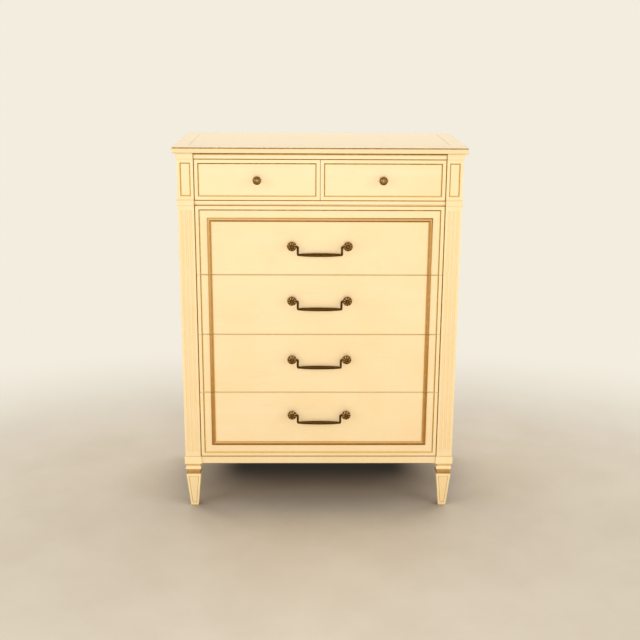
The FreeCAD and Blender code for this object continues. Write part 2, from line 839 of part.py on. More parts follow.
def case_nodes():
    front_foot_y = pilaster_front - cap_projection + block_width / 2
    rear_foot_y = case_back - block_width / 2
    return {
        "top_panel": top_panel(),
        "frieze_rail": frieze_rail(),
        "mid_rail": mid_rail(),
        "apron_rails": apron_rails(),
        "left_side": mirrored(right_side()),
        "right_side": right_side(),
        "back_panel": back_panel(),
        "left_pilaster": mirrored(right_pilaster()),
        "right_pilaster": right_pilaster(),
        "upper_caps": pair(right_cap(frieze_z, slab_z)),
        "mid_caps": pair(right_cap(mid_rail_z, mid_rail_z + mid_cap_height)),
        "front_feet": feet_pair(front_foot_y),
        "rear_feet": feet_pair(rear_foot_y),
        "base_frame": web_frame(base_z, base_z + frame_thickness),
        "lower_frame": joint_frame(third_z),
        "centre_frame": joint_frame(second_z),
        "upper_frame": joint_frame(first_z),
        "mid_frame": web_frame(mid_rail_z, small_z),
        "top_frame": web_frame(frieze_z, slab_z),
        "drawer_guides": drawer_guides(),
        "centre_divider": centre_divider(),
    }


def all_nodes():
    nodes = case_nodes()
    nodes.update(small_drawer("top_left_drawer", -1))
    nodes.update(small_drawer("top_right_drawer", 1))
    nodes.update(long_drawer("long_drawer_1", first_z, mid_rail_z, pull_height_first, ("bottom",)))
    nodes.update(long_drawer("long_drawer_2", second_z, first_z, pull_height_second, ("bottom", "top")))
    nodes.update(long_drawer("long_drawer_3", third_z, second_z, pull_height_third, ("bottom", "top")))
    nodes.update(long_drawer("long_drawer_4", base_z, third_z, pull_height_bottom, ("top",)))
    return nodes


os.makedirs("parts", exist_ok=True)
for node_name, shape in all_nodes().items():
    shape.exportStep(os.path.join("parts", node_name + ".step"))
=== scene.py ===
"""The looks of a tall painted chest of drawers, dressed round its packed construction.

Metres, +Z up, the front looks along -Y, as in the frame. Every class holds one
sub-assembly with its sizes, builds its meshes and gives them their finish.
"""

import logging
import math
from collections.abc import Callable, Iterable, Sequence
from dataclasses import dataclass, field
from enum import Enum

import bmesh
import bpy
from mathutils import Matrix, Vector


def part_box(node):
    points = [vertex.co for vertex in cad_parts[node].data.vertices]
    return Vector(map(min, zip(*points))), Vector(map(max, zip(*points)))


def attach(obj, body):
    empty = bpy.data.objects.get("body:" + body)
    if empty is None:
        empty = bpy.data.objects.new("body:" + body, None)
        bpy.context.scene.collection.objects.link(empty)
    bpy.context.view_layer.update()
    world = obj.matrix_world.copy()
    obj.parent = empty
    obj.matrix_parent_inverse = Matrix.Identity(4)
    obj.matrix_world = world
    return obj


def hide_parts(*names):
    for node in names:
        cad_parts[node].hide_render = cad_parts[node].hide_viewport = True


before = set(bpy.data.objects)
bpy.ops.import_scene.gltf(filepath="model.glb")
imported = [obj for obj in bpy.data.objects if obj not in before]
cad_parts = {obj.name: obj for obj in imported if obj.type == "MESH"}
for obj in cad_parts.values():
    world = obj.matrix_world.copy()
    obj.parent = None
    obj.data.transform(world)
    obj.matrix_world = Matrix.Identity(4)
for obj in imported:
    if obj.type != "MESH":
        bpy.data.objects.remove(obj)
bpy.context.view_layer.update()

log = logging.getLogger("chest")

Colour = tuple[float, float, float]
FaceRule = Callable[[bmesh.types.BMFace], float]
PlaceRule = Callable[[Vector], bool]
Ring = tuple[Vector, Vector, float]
Socket = bpy.types.NodeSocket
NUMBER, VECTOR = "NodeSocketFloat", "NodeSocketVector"
LONG_DRAWERS = 4

# The amounts that a mesh holds for its finish: glaze together with painted shade, and rubbed wear together
# with painted highlights
GLAZE_AND_SHADE_LAYER = "glaze"
RUBBED_AND_HIGHLIGHT_LAYER = "rubbed"

# Glaze and painted shade left whole, and wiped back; and a mark for near-white paint that is painted light
# on the walls of the joints between drawers
FULL = 1.0
WIPED = 0.0
PAINTED_LIGHT = -1.0

# How much of a face's glaze lies on its rounded edge, and beside a gap on the front; at the gaps this glaze
# is partly painted shade
EDGE_SHARE = 0.9
LIP_SHARE = 0.6

# How near points merge, how far a joined flat face may bend, and three tolerances for where a face lies
MERGE_DISTANCE = 1e-5
FLAT_ANGLE = math.radians(0.6)
SNUG = 0.0001
CLOSE = 0.0002
NEAR = 0.001

# The least part of its direction that makes a face count as square to an axis
LEVEL = 0.99

# How far a drawer's sunk field lies behind its border
FIELD_STEP = 0.0025


class Grain(Enum):
    """The way that brush strokes or wood grain run on a piece."""

    ACROSS = (1.0, 22.0, 22.0)
    UPRIGHT = (22.0, 22.0, 1.0)
    DEEP = (22.0, 1.0, 22.0)


class Axis(Enum):
    """A direction along one of the frame's axes."""

    TO_FRONT = Vector((0.0, -1.0, 0.0))
    TO_RIGHT = Vector((1.0, 0.0, 0.0))
    UP = Vector((0.0, 0.0, 1.0))


def linear(red: int, green: int, blue: int) -> Colour:
    """Turns a display colour into a linear one.

    Args:
        red: Red, 0 to 255.
        green: Green, 0 to 255.
        blue: Blue, 0 to 255.

    Returns:
        The same colour in linear light.
    """
    def channel(value: int) -> float:
        """Returns one channel in linear light."""
        share = value / 255
        return share / 12.92 if share <= 0.04045 else ((share + 0.055) / 1.055) ** 2.4

    return channel(red), channel(green), channel(blue)


class Wiring:
    """A node tree under construction: nodes are added with their inputs set or joined."""

    def __init__(self, tree: bpy.types.NodeTree) -> None:
        """Keeps the tree that the nodes go into."""
        self.tree = tree

    def add(self, kind: str, inputs: dict[str | int, object] | None = None,
            **settings: object) -> bpy.types.Node:
        """Adds a node.

        Args:
            kind: The node's Blender type.
            inputs: Values, or sockets to join, by the input's name or number.
            **settings: Properties of the node.

        Returns:
            The new node.
        """
        node = self.tree.nodes.new(kind)
        for name, value in settings.items():
            setattr(node, name, value)
        for key, value in (inputs or {}).items():
            if isinstance(value, Socket):
                self.tree.links.new(value, node.inputs[key])
            else:
                node.inputs[key].default_value = value
        return node

    def maths(self, operation: str, first: object, second: object = 0.0, clamp: bool = False) -> Socket:
        """Adds a Math node and returns its result."""
        node = self.add("ShaderNodeMath", {0: first, 1: second}, operation=operation, use_clamp=clamp)
        return node.outputs[0]

    def scaled(self, value: Socket, factor: float, offset: float = 0.0, clamp: bool = False) -> Socket:
        """Multiplies a value and adds an offset, and returns the result."""
        inputs = {0: value, 1: factor, 2: offset}
        return self.add("ShaderNodeMath", inputs, operation="MULTIPLY_ADD", use_clamp=clamp).outputs[0]

    def remap(self, value: Socket, low: float, high: float, to_low: float = 0.0,
              to_high: float = 1.0) -> Socket:
        """Maps a range to another one smoothly, clamped at both ends, and returns the result."""
        inputs = {"Value": value, "From Min": low, "From Max": high, "To Min": to_low, "To Max": to_high}
        return self.add("ShaderNodeMapRange", inputs, interpolation_type="SMOOTHSTEP").outputs[0]

    def blend(self, share: object, first: object, second: object, mode: str = "MIX") -> Socket:
        """Mixes two colours and returns the result.

        Args:
            share: How much of the second colour shows.
            first: A colour, or a socket that gives one.
            second: The other one.
            mode: The blend mode.

        Returns:
            The mixed colour's socket.
        """
        colours = [value if isinstance(value, Socket) else (*value, 1.0) for value in (first, second)]
        node = self.add("ShaderNodeMix", {0: share, 6: colours[0], 7: colours[1]},
                        data_type="RGBA", blend_type=mode)
        return node.outputs[2]

    def noise(self, vector: Socket, scale: float, detail: float = 3.0, roughness: float = 0.5) -> Socket:
        """Adds a noise texture and returns its grey value."""
        inputs = {"Vector": vector, "Scale": scale, "Detail": detail, "Roughness": roughness}
        return self.add("ShaderNodeTexNoise", inputs).outputs[0]

    def stretched(self, vector: Socket, scale: Sequence[float]) -> Socket:
        """Scales coordinates along each axis and returns them."""
        return self.add("ShaderNodeMapping", {"Vector": vector, "Scale": tuple(scale)}).outputs[0]

    def layer(self, name: str) -> Socket:
        """Reads an amount that the mesh holds, and returns it."""
        return self.add("ShaderNodeAttribute", attribute_name=name).outputs["Fac"]

    def bumped(self, shader: bpy.types.Node, height: Socket, strength: float, distance: float) -> None:
        """Raises and lowers a shader's surface by a height."""
        bump = self.add("ShaderNodeBump", {"Strength": strength, "Distance": distance, "Height": height})
        self.tree.links.new(bump.outputs[0], shader.inputs["Normal"])


def shared_group(name: str, inputs: Sequence[tuple[str, str, float]], outputs: Sequence[tuple[str, str]],
                 wire: Callable[[Wiring, bpy.types.Node], dict[str, Socket]]) -> bpy.types.NodeTree:
    """Makes a shader node group once, or returns it if it is there.

    Args:
        name: The group's name.
        inputs: Each input's name, socket type and value; vectors and colours keep their own.
        outputs: Each output's name and socket type.
        wire: Builds the nodes from the group's inputs and returns the outputs' sockets.

    Returns:
        The group.
    """
    tree = bpy.data.node_groups.get(name)
    if tree is not None:
        return tree
    tree = bpy.data.node_groups.new(name, "ShaderNodeTree")
    for label, kind, value in inputs:
        socket = tree.interface.new_socket(label, in_out="INPUT", socket_type=kind)
        if kind == NUMBER:
            socket.default_value = value
    for label, kind in outputs:
        tree.interface.new_socket(label, in_out="OUTPUT", socket_type=kind)
    wiring = Wiring(tree)
    results = wire(wiring, wiring.add("NodeGroupInput"))
    wiring.add("NodeGroupOutput", dict(results))
    return tree


def streaks_group() -> bpy.types.NodeTree:
    """The fine ridges that a brush leaves, and the thin glaze that stays between them.

    Returns:
        The group, which gives Ridges and Glaze.
    """
    def wire(w: Wiring, given: bpy.types.Node) -> dict[str, Socket]:
        """Layers a coarse and a fine stretched noise.

        Args:
            w: The group's wiring.
            given: Its inputs.

        Returns:
            Its outputs by name.
        """
        vector = given.outputs["Vector"]
        coarse = w.noise(vector, 9.0, 2.0, 0.55)
        fine = w.noise(vector, 34.0, 4.0, 0.65)
        ridges = w.maths("ADD", w.maths("MULTIPLY", coarse, 0.45), w.maths("MULTIPLY", fine, 0.55))
        patches = w.remap(w.noise(given.outputs["Place"], 4.0, 2.0), 0.35, 0.7)
        lines = w.remap(w.noise(vector, 21.0, 3.0, 0.6), 0.53, 0.74)
        glaze = w.maths("MULTIPLY", lines, w.maths("MULTIPLY", patches, given.outputs["Amount"]))
        return {"Ridges": ridges, "Glaze": glaze}

    return shared_group("brush_streaks",
                        [("Vector", VECTOR, 0.0), ("Place", VECTOR, 0.0), ("Amount", NUMBER, 0.5)],
                        [("Ridges", NUMBER), ("Glaze", NUMBER)], wire)


def crevice_group() -> bpy.types.NodeTree:
    """Glaze where a cloth can't wipe it, in grooves, and painted shade wherever the surface is closed in.

    Returns:
        The group, which gives a Mask.
    """
    def wire(w: Wiring, given: bpy.types.Node) -> dict[str, Socket]:
        """Breaks both up with noise and joins them.

        Args:
            w: The group's wiring.
            given: Its inputs.

        Returns:
            Its outputs by name.
        """
        closed = w.maths("SUBTRACT", 1.0, given.outputs["Open"])
        uneven = w.remap(w.noise(given.outputs["Place"], 38.0, 4.0), 0.25, 0.75, 0.75, 1.2)
        gathered = w.remap(w.maths("MULTIPLY", closed, uneven), 0.07, 0.42)
        gathered = w.maths("MULTIPLY", gathered, given.outputs["Amount"])
        patchy = w.remap(w.noise(given.outputs["Place"], 65.0, 5.0, 0.6), 0.25, 0.62, 0.8, 1.0)
        laid = w.maths("MULTIPLY", given.outputs["Laid"], patchy)
        return {"Mask": w.maths("MAXIMUM", gathered, laid, clamp=True)}

    return shared_group("crevice_glaze_and_shade",
                        [("Open", NUMBER, 1.0), ("Place", VECTOR, 0.0), ("Laid", NUMBER, 0.0),
                         ("Amount", NUMBER, 1.0)],
                        [("Mask", NUMBER)], wire)


def wear_group() -> bpy.types.NodeTree:
    """Finish rubbed thin on sharp edges, broken up along them.

    Returns:
        The group, which gives a Mask.
    """
    def wire(w: Wiring, given: bpy.types.Node) -> dict[str, Socket]:
        """Breaks the sharp places up with two noises.

        Args:
            w: The group's wiring.
            given: Its inputs.

        Returns:
            Its outputs by name.
        """
        edge = w.remap(w.maths("SUBTRACT", 1.0, given.outputs["Inside"]), 0.12, 0.6)
        broad = w.remap(w.noise(given.outputs["Place"], 11.0, 3.0), 0.42, 0.66)
        chips = w.remap(w.noise(given.outputs["Place"], 160.0, 5.0, 0.7), 0.4, 0.62)
        mask = w.maths("MULTIPLY", edge, w.maths("MULTIPLY", broad, chips))
        return {"Mask": w.maths("MULTIPLY", mask, given.outputs["Amount"], clamp=True)}

    return shared_group("edge_wear",
                        [("Inside", NUMBER, 1.0), ("Place", VECTOR, 0.0), ("Amount", NUMBER, 1.0)],
                        [("Mask", NUMBER)], wire)


def dust_and_sheen_group() -> bpy.types.NodeTree:
    """Dust on what faces up, in soft patches; where the amount is large, as on the top, a paler painted
    sheen.

    Returns:
        The group, which gives a Mask.
    """
    def wire(w: Wiring, given: bpy.types.Node) -> dict[str, Socket]:
        """Takes the upward part of the surface's direction.

        Args:
            w: The group's wiring.
            given: Its inputs.

        Returns:
            Its outputs by name.
        """
        normal = w.add("ShaderNodeNewGeometry").outputs["Normal"]
        up = w.add("ShaderNodeSeparateXYZ", {0: normal}).outputs["Z"]
        patches = w.remap(w.noise(given.outputs["Place"], 7.0, 4.0, 0.6), 0.35, 0.75, 0.25, 1.0)
        mask = w.maths("MULTIPLY", w.remap(up, 0.55, 1.0), patches)
        return {"Mask": w.maths("MULTIPLY", mask, given.outputs["Amount"], clamp=True)}

    return shared_group("dust_and_painted_sheen", [("Place", VECTOR, 0.0), ("Amount", NUMBER, 0.1)],
                        [("Mask", NUMBER)], wire)


def grain_group() -> bpy.types.NodeTree:
    """The figure of plain-sawn wood: broad bands, fine fibres and pores.

    Returns:
        The group, which gives a Figure and Pores.
    """
    def wire(w: Wiring, given: bpy.types.Node) -> dict[str, Socket]:
        """Warps a band pattern and adds the fibres.

        Args:
            w: The group's wiring.
            given: Its inputs.

        Returns:
            Its outputs by name.
        """
        vector = given.outputs["Vector"]
        drift = w.noise(vector, 1.6, 3.0, 0.5)
        bands = w.remap(w.maths("SINE", w.maths("MULTIPLY", drift, 105.0)), -1.0, 1.0)
        fibres = w.noise(vector, 42.0, 4.0, 0.7)
        pores = w.remap(w.noise(vector, 95.0, 2.0, 0.5), 0.6, 0.72)
        figure = w.maths("ADD", w.maths("MULTIPLY", bands, 0.45), w.maths("MULTIPLY", fibres, 0.55))
        return {"Figure": figure, "Pores": pores}

    return shared_group("wood_grain", [("Vector", VECTOR, 0.0)],
                        [("Figure", NUMBER), ("Pores", NUMBER)], wire)


def openness(w: Wiring, reach: float, inside: bool = False, alone: bool = True) -> Socket:
    """How open the surface is within reach, or how thick the piece is below it.

    Args:
        w: The material's wiring.
        reach: How far it looks, in metres.
        inside: Looks below the surface, which finds sharp edges.
        alone: Leaves the other pieces out.

    Returns:
        A value that is 1 on a flat face.
    """
    settings = {"samples": 8, "only_local": alone, "inside": inside}
    return w.add("ShaderNodeAmbientOcclusion", {"Distance": reach}, **settings).outputs["AO"]


def started(name: str) -> tuple[bpy.types.Material, Wiring, bpy.types.Node, Socket]:
    """Starts a material.

    Args:
        name: The material's name.

    Returns:
        The material, its wiring, its surface shader and the piece's own coordinates.
    """
    material = bpy.data.materials.new(name)
    material.use_nodes = True
    material.node_tree.nodes.clear()
    w = Wiring(material.node_tree)
    shader = w.add("ShaderNodeBsdfPrincipled")
    w.add("ShaderNodeOutputMaterial", {"Surface": shader.outputs[0]})
    return material, w, shader, w.add("ShaderNodeTexCoord").outputs["Object"]


def grouped(w: Wiring, group: bpy.types.NodeTree, **inputs: object) -> bpy.types.bpy_prop_collection:
    """Places a shared group in a material and returns its outputs."""
    return w.add("ShaderNodeGroup", inputs, node_tree=group).outputs


@dataclass(frozen=True)
class PaintFinish:
    """Brushed cream paint under a brown glaze that was wiped back, plus painted shade where it is closed in
    and painted light in joints.
    """

    name: str
    grain: Grain
    cream: Colour = linear(250, 223, 173)
    warm: Colour = linear(248, 215, 158)
    pale: Colour = linear(252, 230, 191)
    amber: Colour = linear(219, 172, 78)
    glaze: Colour = linear(88, 62, 10)
    dust_and_sheen_colour: Colour = linear(226, 219, 205)
    joint_light: Colour = linear(255, 250, 240)
    glaze_and_shade_amount: float = 0.35
    streak_amount: float = 0.4
    wear_amount: float = 0.4
    crevice_reach: float = 0.006
    edge_reach: float = 0.0022
    roughness: float = 0.45
    sheen_range: float = 0.14
    coat: float = 0.08
    coat_roughness: float = 0.22
    dust_and_sheen: float = 0.05
    alone: bool = True

    def material(self) -> bpy.types.Material:
        """Builds the finish.

        Returns:
            The material.
        """
        material, w, shader, place = started(self.name)
        along = w.stretched(place, self.grain.value)
        streaks = grouped(w, streaks_group(), Vector=along, Place=place, Amount=self.streak_amount)
        laid = w.layer(GLAZE_AND_SHADE_LAYER)
        # Painted shade: the occlusion mask darkens the paint where it is closed in, by other pieces too
        # unless alone, added to the glaze laid on by the mesh
        crevice = grouped(w, crevice_group(), Open=openness(w, self.crevice_reach, alone=self.alone),
                          Place=place, Laid=laid, Amount=self.glaze_and_shade_amount)["Mask"]
        wear = grouped(w, wear_group(), Inside=openness(w, self.edge_reach, inside=True), Place=place,
                       Amount=self.wear_amount)["Mask"]
        dust_and_sheen = grouped(w, dust_and_sheen_group(), Place=place, Amount=self.dust_and_sheen)["Mask"]

        mottle = w.remap(w.noise(place, 5.5, 4.0, 0.6), 0.3, 0.75, 0.0, 0.55)
        colour = w.blend(mottle, self.cream, self.warm)
        cloud = w.remap(w.noise(w.stretched(along, (0.4, 0.4, 0.4)), 3.0, 3.0), 0.5, 0.8, 0.0, 0.3)
        colour = w.blend(cloud, colour, self.pale)
        colour = w.blend(w.maths("MULTIPLY", streaks["Glaze"], 0.4), colour, self.amber)
        specks = w.remap(w.noise(place, 210.0, 1.0), 0.81, 0.85, 0.0, 0.45)
        colour = w.blend(specks, colour, self.glaze)
        colour = w.blend(wear, colour, self.pale)
        # Painted light: near-white paint on the joint walls between long drawers, lightening the shade in
        # those gaps
        colour = w.blend(w.maths("MULTIPLY", laid, -1.0, clamp=True), colour, self.joint_light)
        # Thin amounts turn amber and thick ones brown: glaze, and painted shade in gaps, under edges and in
        # closed-in places
        colour = w.blend(w.maths("MULTIPLY", crevice, 2.0, clamp=True), colour, self.amber)
        colour = w.blend(w.scaled(crevice, 2.0, -1.0, clamp=True), colour, self.glaze)
        colour = w.blend(dust_and_sheen, colour, self.dust_and_sheen_colour)
        w.tree.links.new(colour, shader.inputs["Base Color"])

        uneven = w.scaled(streaks["Ridges"], self.sheen_range, self.roughness - self.sheen_range / 2)
        rough = w.maths("ADD", uneven, w.maths("MULTIPLY", w.maths("ADD", crevice, dust_and_sheen), 0.2), clamp=True)
        w.tree.links.new(rough, shader.inputs["Roughness"])
        peel = w.noise(place, 420.0, 2.0)
        height = w.maths("ADD", w.maths("MULTIPLY", streaks["Ridges"], 0.8), w.maths("MULTIPLY", peel, 0.2))
        w.bumped(shader, height, strength=0.35, distance=0.0004)
        shader.inputs["Specular IOR Level"].default_value = 0.35
        shader.inputs["Coat Weight"].default_value = self.coat
        shader.inputs["Coat Roughness"].default_value = self.coat_roughness
        return material


@dataclass(frozen=True)
class WoodFinish:
    """Plain wood, clear-sealed or left raw."""

    name: str
    grain: Grain
    light: Colour = linear(206, 164, 112)
    dark: Colour = linear(158, 112, 66)
    roughness: float = 0.55
    dust_and_sheen: float = 0.25
    pore: Colour = linear(92, 60, 32)
    crevice_shade: Colour = linear(74, 50, 28)
    dust_and_sheen_colour: Colour = linear(214, 203, 184)

    def material(self) -> bpy.types.Material:
        """Builds the finish.

        Returns:
            The material.
        """
        material, w, shader, place = started(self.name)
        along = w.stretched(place, [value / 4 for value in self.grain.value])
        figure = grouped(w, grain_group(), Vector=along)
        # Painted shade: darker where the occlusion mask finds the wood closed in
        crevice_shade = grouped(w, crevice_group(), Open=openness(w, 0.012), Place=place, Amount=0.45)["Mask"]
        dust_and_sheen = grouped(w, dust_and_sheen_group(), Place=place, Amount=self.dust_and_sheen)["Mask"]
        colour = w.blend(figure["Figure"], self.light, self.dark)
        tone = w.remap(w.noise(place, 2.2, 2.0), 0.3, 0.7, 0.0, 0.3)
        colour = w.blend(tone, colour, self.dark)
        colour = w.blend(w.maths("MULTIPLY", figure["Pores"], 0.45), colour, self.pore)
        colour = w.blend(crevice_shade, colour, self.crevice_shade)
        colour = w.blend(dust_and_sheen, colour, self.dust_and_sheen_colour)
        w.tree.links.new(colour, shader.inputs["Base Color"])
        w.tree.links.new(w.scaled(figure["Figure"], 0.15, self.roughness), shader.inputs["Roughness"])
        height = w.maths("SUBTRACT", figure["Figure"], w.maths("MULTIPLY", figure["Pores"], 0.6))
        w.bumped(shader, height, strength=0.4, distance=0.0005)
        return material


@dataclass(frozen=True)
class BronzeFinish:
    """Cast metal, browned all over, with painted shade in its hollows, and rubbed brighter on its high
    spots, partly as a painted highlight.
    """

    name: str
    brown: Colour = linear(150, 108, 46)
    dark: Colour = linear(52, 29, 3)
    bright: Colour = linear(224, 178, 108)
    roughness: float = 0.36
    metallic: float = 0.8
    crevice_reach: float = 0.004
    edge_reach: float = 0.0016

    def material(self) -> bpy.types.Material:
        """Builds the finish.

        Returns:
            The material.
        """
        material, w, shader, place = started(self.name)
        laid = w.layer(GLAZE_AND_SHADE_LAYER)
        high = w.layer(RUBBED_AND_HIGHLIGHT_LAYER)
        # Painted shade, with the patina of the hollows: darker in hollows found by the occlusion mask and in
        # the valleys that the mesh marks
        shade = grouped(w, crevice_group(), Open=openness(w, self.crevice_reach), Place=place, Laid=laid,
                        Amount=1.0)["Mask"]
        rubbed = grouped(w, wear_group(), Inside=openness(w, self.edge_reach, inside=True), Place=place,
                         Amount=1.0)["Mask"]
        mottle = w.remap(w.noise(place, 230.0, 4.0, 0.65), 0.3, 0.72)
        colour = w.blend(mottle, self.dark, self.brown)
        colour = w.blend(shade, colour, self.dark)
        # Brighter on sharp edges and marked crests: wear, and a painted highlight
        colour = w.blend(w.maths("MULTIPLY", w.maths("MAXIMUM", rubbed, high), 0.75), colour, self.bright)
        w.tree.links.new(colour, shader.inputs["Base Color"])
        shader.inputs["Metallic"].default_value = self.metallic
        shader.inputs["Specular IOR Level"].default_value = 0.25
        w.tree.links.new(w.scaled(mottle, 0.18, self.roughness - 0.06), shader.inputs["Roughness"])
        w.bumped(shader, w.noise(place, 520.0, 3.0), strength=0.3, distance=0.0003)
        return material


@dataclass(frozen=True)
class Finishes:
    """Every finish of the chest, built once."""

    across: bpy.types.Material
    upright: bpy.types.Material
    front: bpy.types.Material
    top: bpy.types.Material
    feet: bpy.types.Material
    bead: bpy.types.Material
    drawer_deep: bpy.types.Material
    drawer_across: bpy.types.Material
    inner_across: bpy.types.Material
    inner_upright: bpy.types.Material
    bronze: bpy.types.Material
    handle: bpy.types.Material

    @classmethod
    def build(cls) -> "Finishes":
        """Builds all finishes.

        Returns:
            The finishes.
        """
        inner = {"light": linear(186, 148, 104), "dark": linear(158, 120, 80), "roughness": 0.7, "dust_and_sheen": 0.4}
        return cls(
            across=PaintFinish("cream_paint_across", Grain.ACROSS, glaze_and_shade_amount=0.2, alone=False).material(),
            upright=PaintFinish("cream_paint_upright", Grain.UPRIGHT, glaze_and_shade_amount=0.2,
                                alone=False).material(),
            front=PaintFinish("cream_paint_drawers", Grain.ACROSS, glaze_and_shade_amount=0.12,
                              streak_amount=0.6).material(),
            # The top: cream darker than elsewhere, painted shade against the stronger light on its front
            # edge; the large dust amount paints a paler sheen on its upper face
            top=PaintFinish("cream_paint_top", Grain.ACROSS, cream=linear(238, 214, 164),
                            warm=linear(234, 207, 154), pale=linear(242, 220, 176),
                            dust_and_sheen_colour=linear(251, 232, 198), dust_and_sheen=3.5, streak_amount=0.2, roughness=0.5,
                            coat=0.05).material(),
            # The feet: cream brighter than elsewhere, painted light against the dimmer light near the floor
            feet=PaintFinish("cream_paint_feet", Grain.UPRIGHT, cream=linear(255, 230, 176),
                             warm=linear(253, 220, 158), pale=linear(255, 246, 222),
                             amber=linear(206, 154, 76), glaze=linear(106, 68, 18), wear_amount=2.2,
                             streak_amount=0.5, alone=False).material(),
            bead=PaintFinish("gold_glaze", Grain.ACROSS, cream=linear(232, 192, 120),
                             warm=linear(220, 174, 98), pale=linear(240, 206, 138),
                             amber=linear(174, 120, 44), glaze=linear(104, 60, 8), crevice_reach=0.004,
                             wear_amount=0.3).material(),
            drawer_deep=WoodFinish("drawer_wood_deep", Grain.DEEP).material(),
            drawer_across=WoodFinish("drawer_wood_across", Grain.ACROSS).material(),
            inner_across=WoodFinish("inner_wood_across", Grain.ACROSS, **inner).material(),
            inner_upright=WoodFinish("inner_wood_upright", Grain.UPRIGHT, **inner).material(),
            bronze=BronzeFinish("antique_bronze").material(),
            handle=BronzeFinish("dark_bronze", brown=linear(98, 66, 14), dark=linear(44, 25, 0),
                                bright=linear(136, 98, 40), roughness=0.46, metallic=0.85).material(),
        )


@dataclass
class Piece:
    """A mesh on its way to be a piece of the chest."""

    name: str
    body: str
    slot: str
    material: bpy.types.Material
    replaced: Sequence[str] = ()
    crease: float = math.radians(32)

    def finish(self, bm: bmesh.types.BMesh, more: Iterable[bpy.types.Material] = ()) -> None:
        """Turns the finished bmesh into an object that rides on its body.

        Args:
            bm: The mesh, in place in the frame. It is freed.
            more: Further materials, for faces that ask for them by number.
        """
        mesh = bpy.data.meshes.new(self.name)
        bm.to_mesh(mesh)
        bm.free()
        if "custom_normal" in mesh.attributes:
            mesh.attributes.remove(mesh.attributes["custom_normal"])
        mesh.materials.clear()
        for material in (self.material, *more):
            mesh.materials.append(material)
        mesh.polygons.foreach_set("use_smooth", [True] * len(mesh.polygons))
        mesh.set_sharp_from_angle(angle=self.crease)
        piece = bpy.data.objects.new(self.name, mesh)
        bpy.context.scene.collection.objects.link(piece)
        weighted = piece.modifiers.new("even_faces", "WEIGHTED_NORMAL")
        weighted.keep_sharp = True
        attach(piece, self.body)
        if self.replaced:
            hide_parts(*self.replaced)
        log.info("%s: %d faces", self.name, len(mesh.polygons))


def merged_copy(node: str) -> bmesh.types.BMesh:
    """Copies a node's mesh with its doubles merged and its flat faces joined.

    Args:
        node: The node's name.

    Returns:
        The new bmesh.
    """
    bm = bmesh.new()
    bm.from_mesh(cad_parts[node].data)
    bmesh.ops.remove_doubles(bm, verts=bm.verts, dist=MERGE_DISTANCE)
    bmesh.ops.dissolve_limit(bm, angle_limit=FLAT_ANGLE, verts=bm.verts, edges=bm.edges)
    return bm


def everywhere(middle: Vector) -> bool:
    """Picks every place."""
    return True


def cut_across(bm: bmesh.types.BMesh, depth: float) -> None:
    """Divides every face at a plane that faces the front, so that each part can have its own finish."""
    bmesh.ops.bisect_plane(bm, geom=[*bm.verts, *bm.edges, *bm.faces], dist=MERGE_DISTANCE,
                           plane_co=(0.0, depth, 0.0), plane_no=(0.0, 1.0, 0.0))


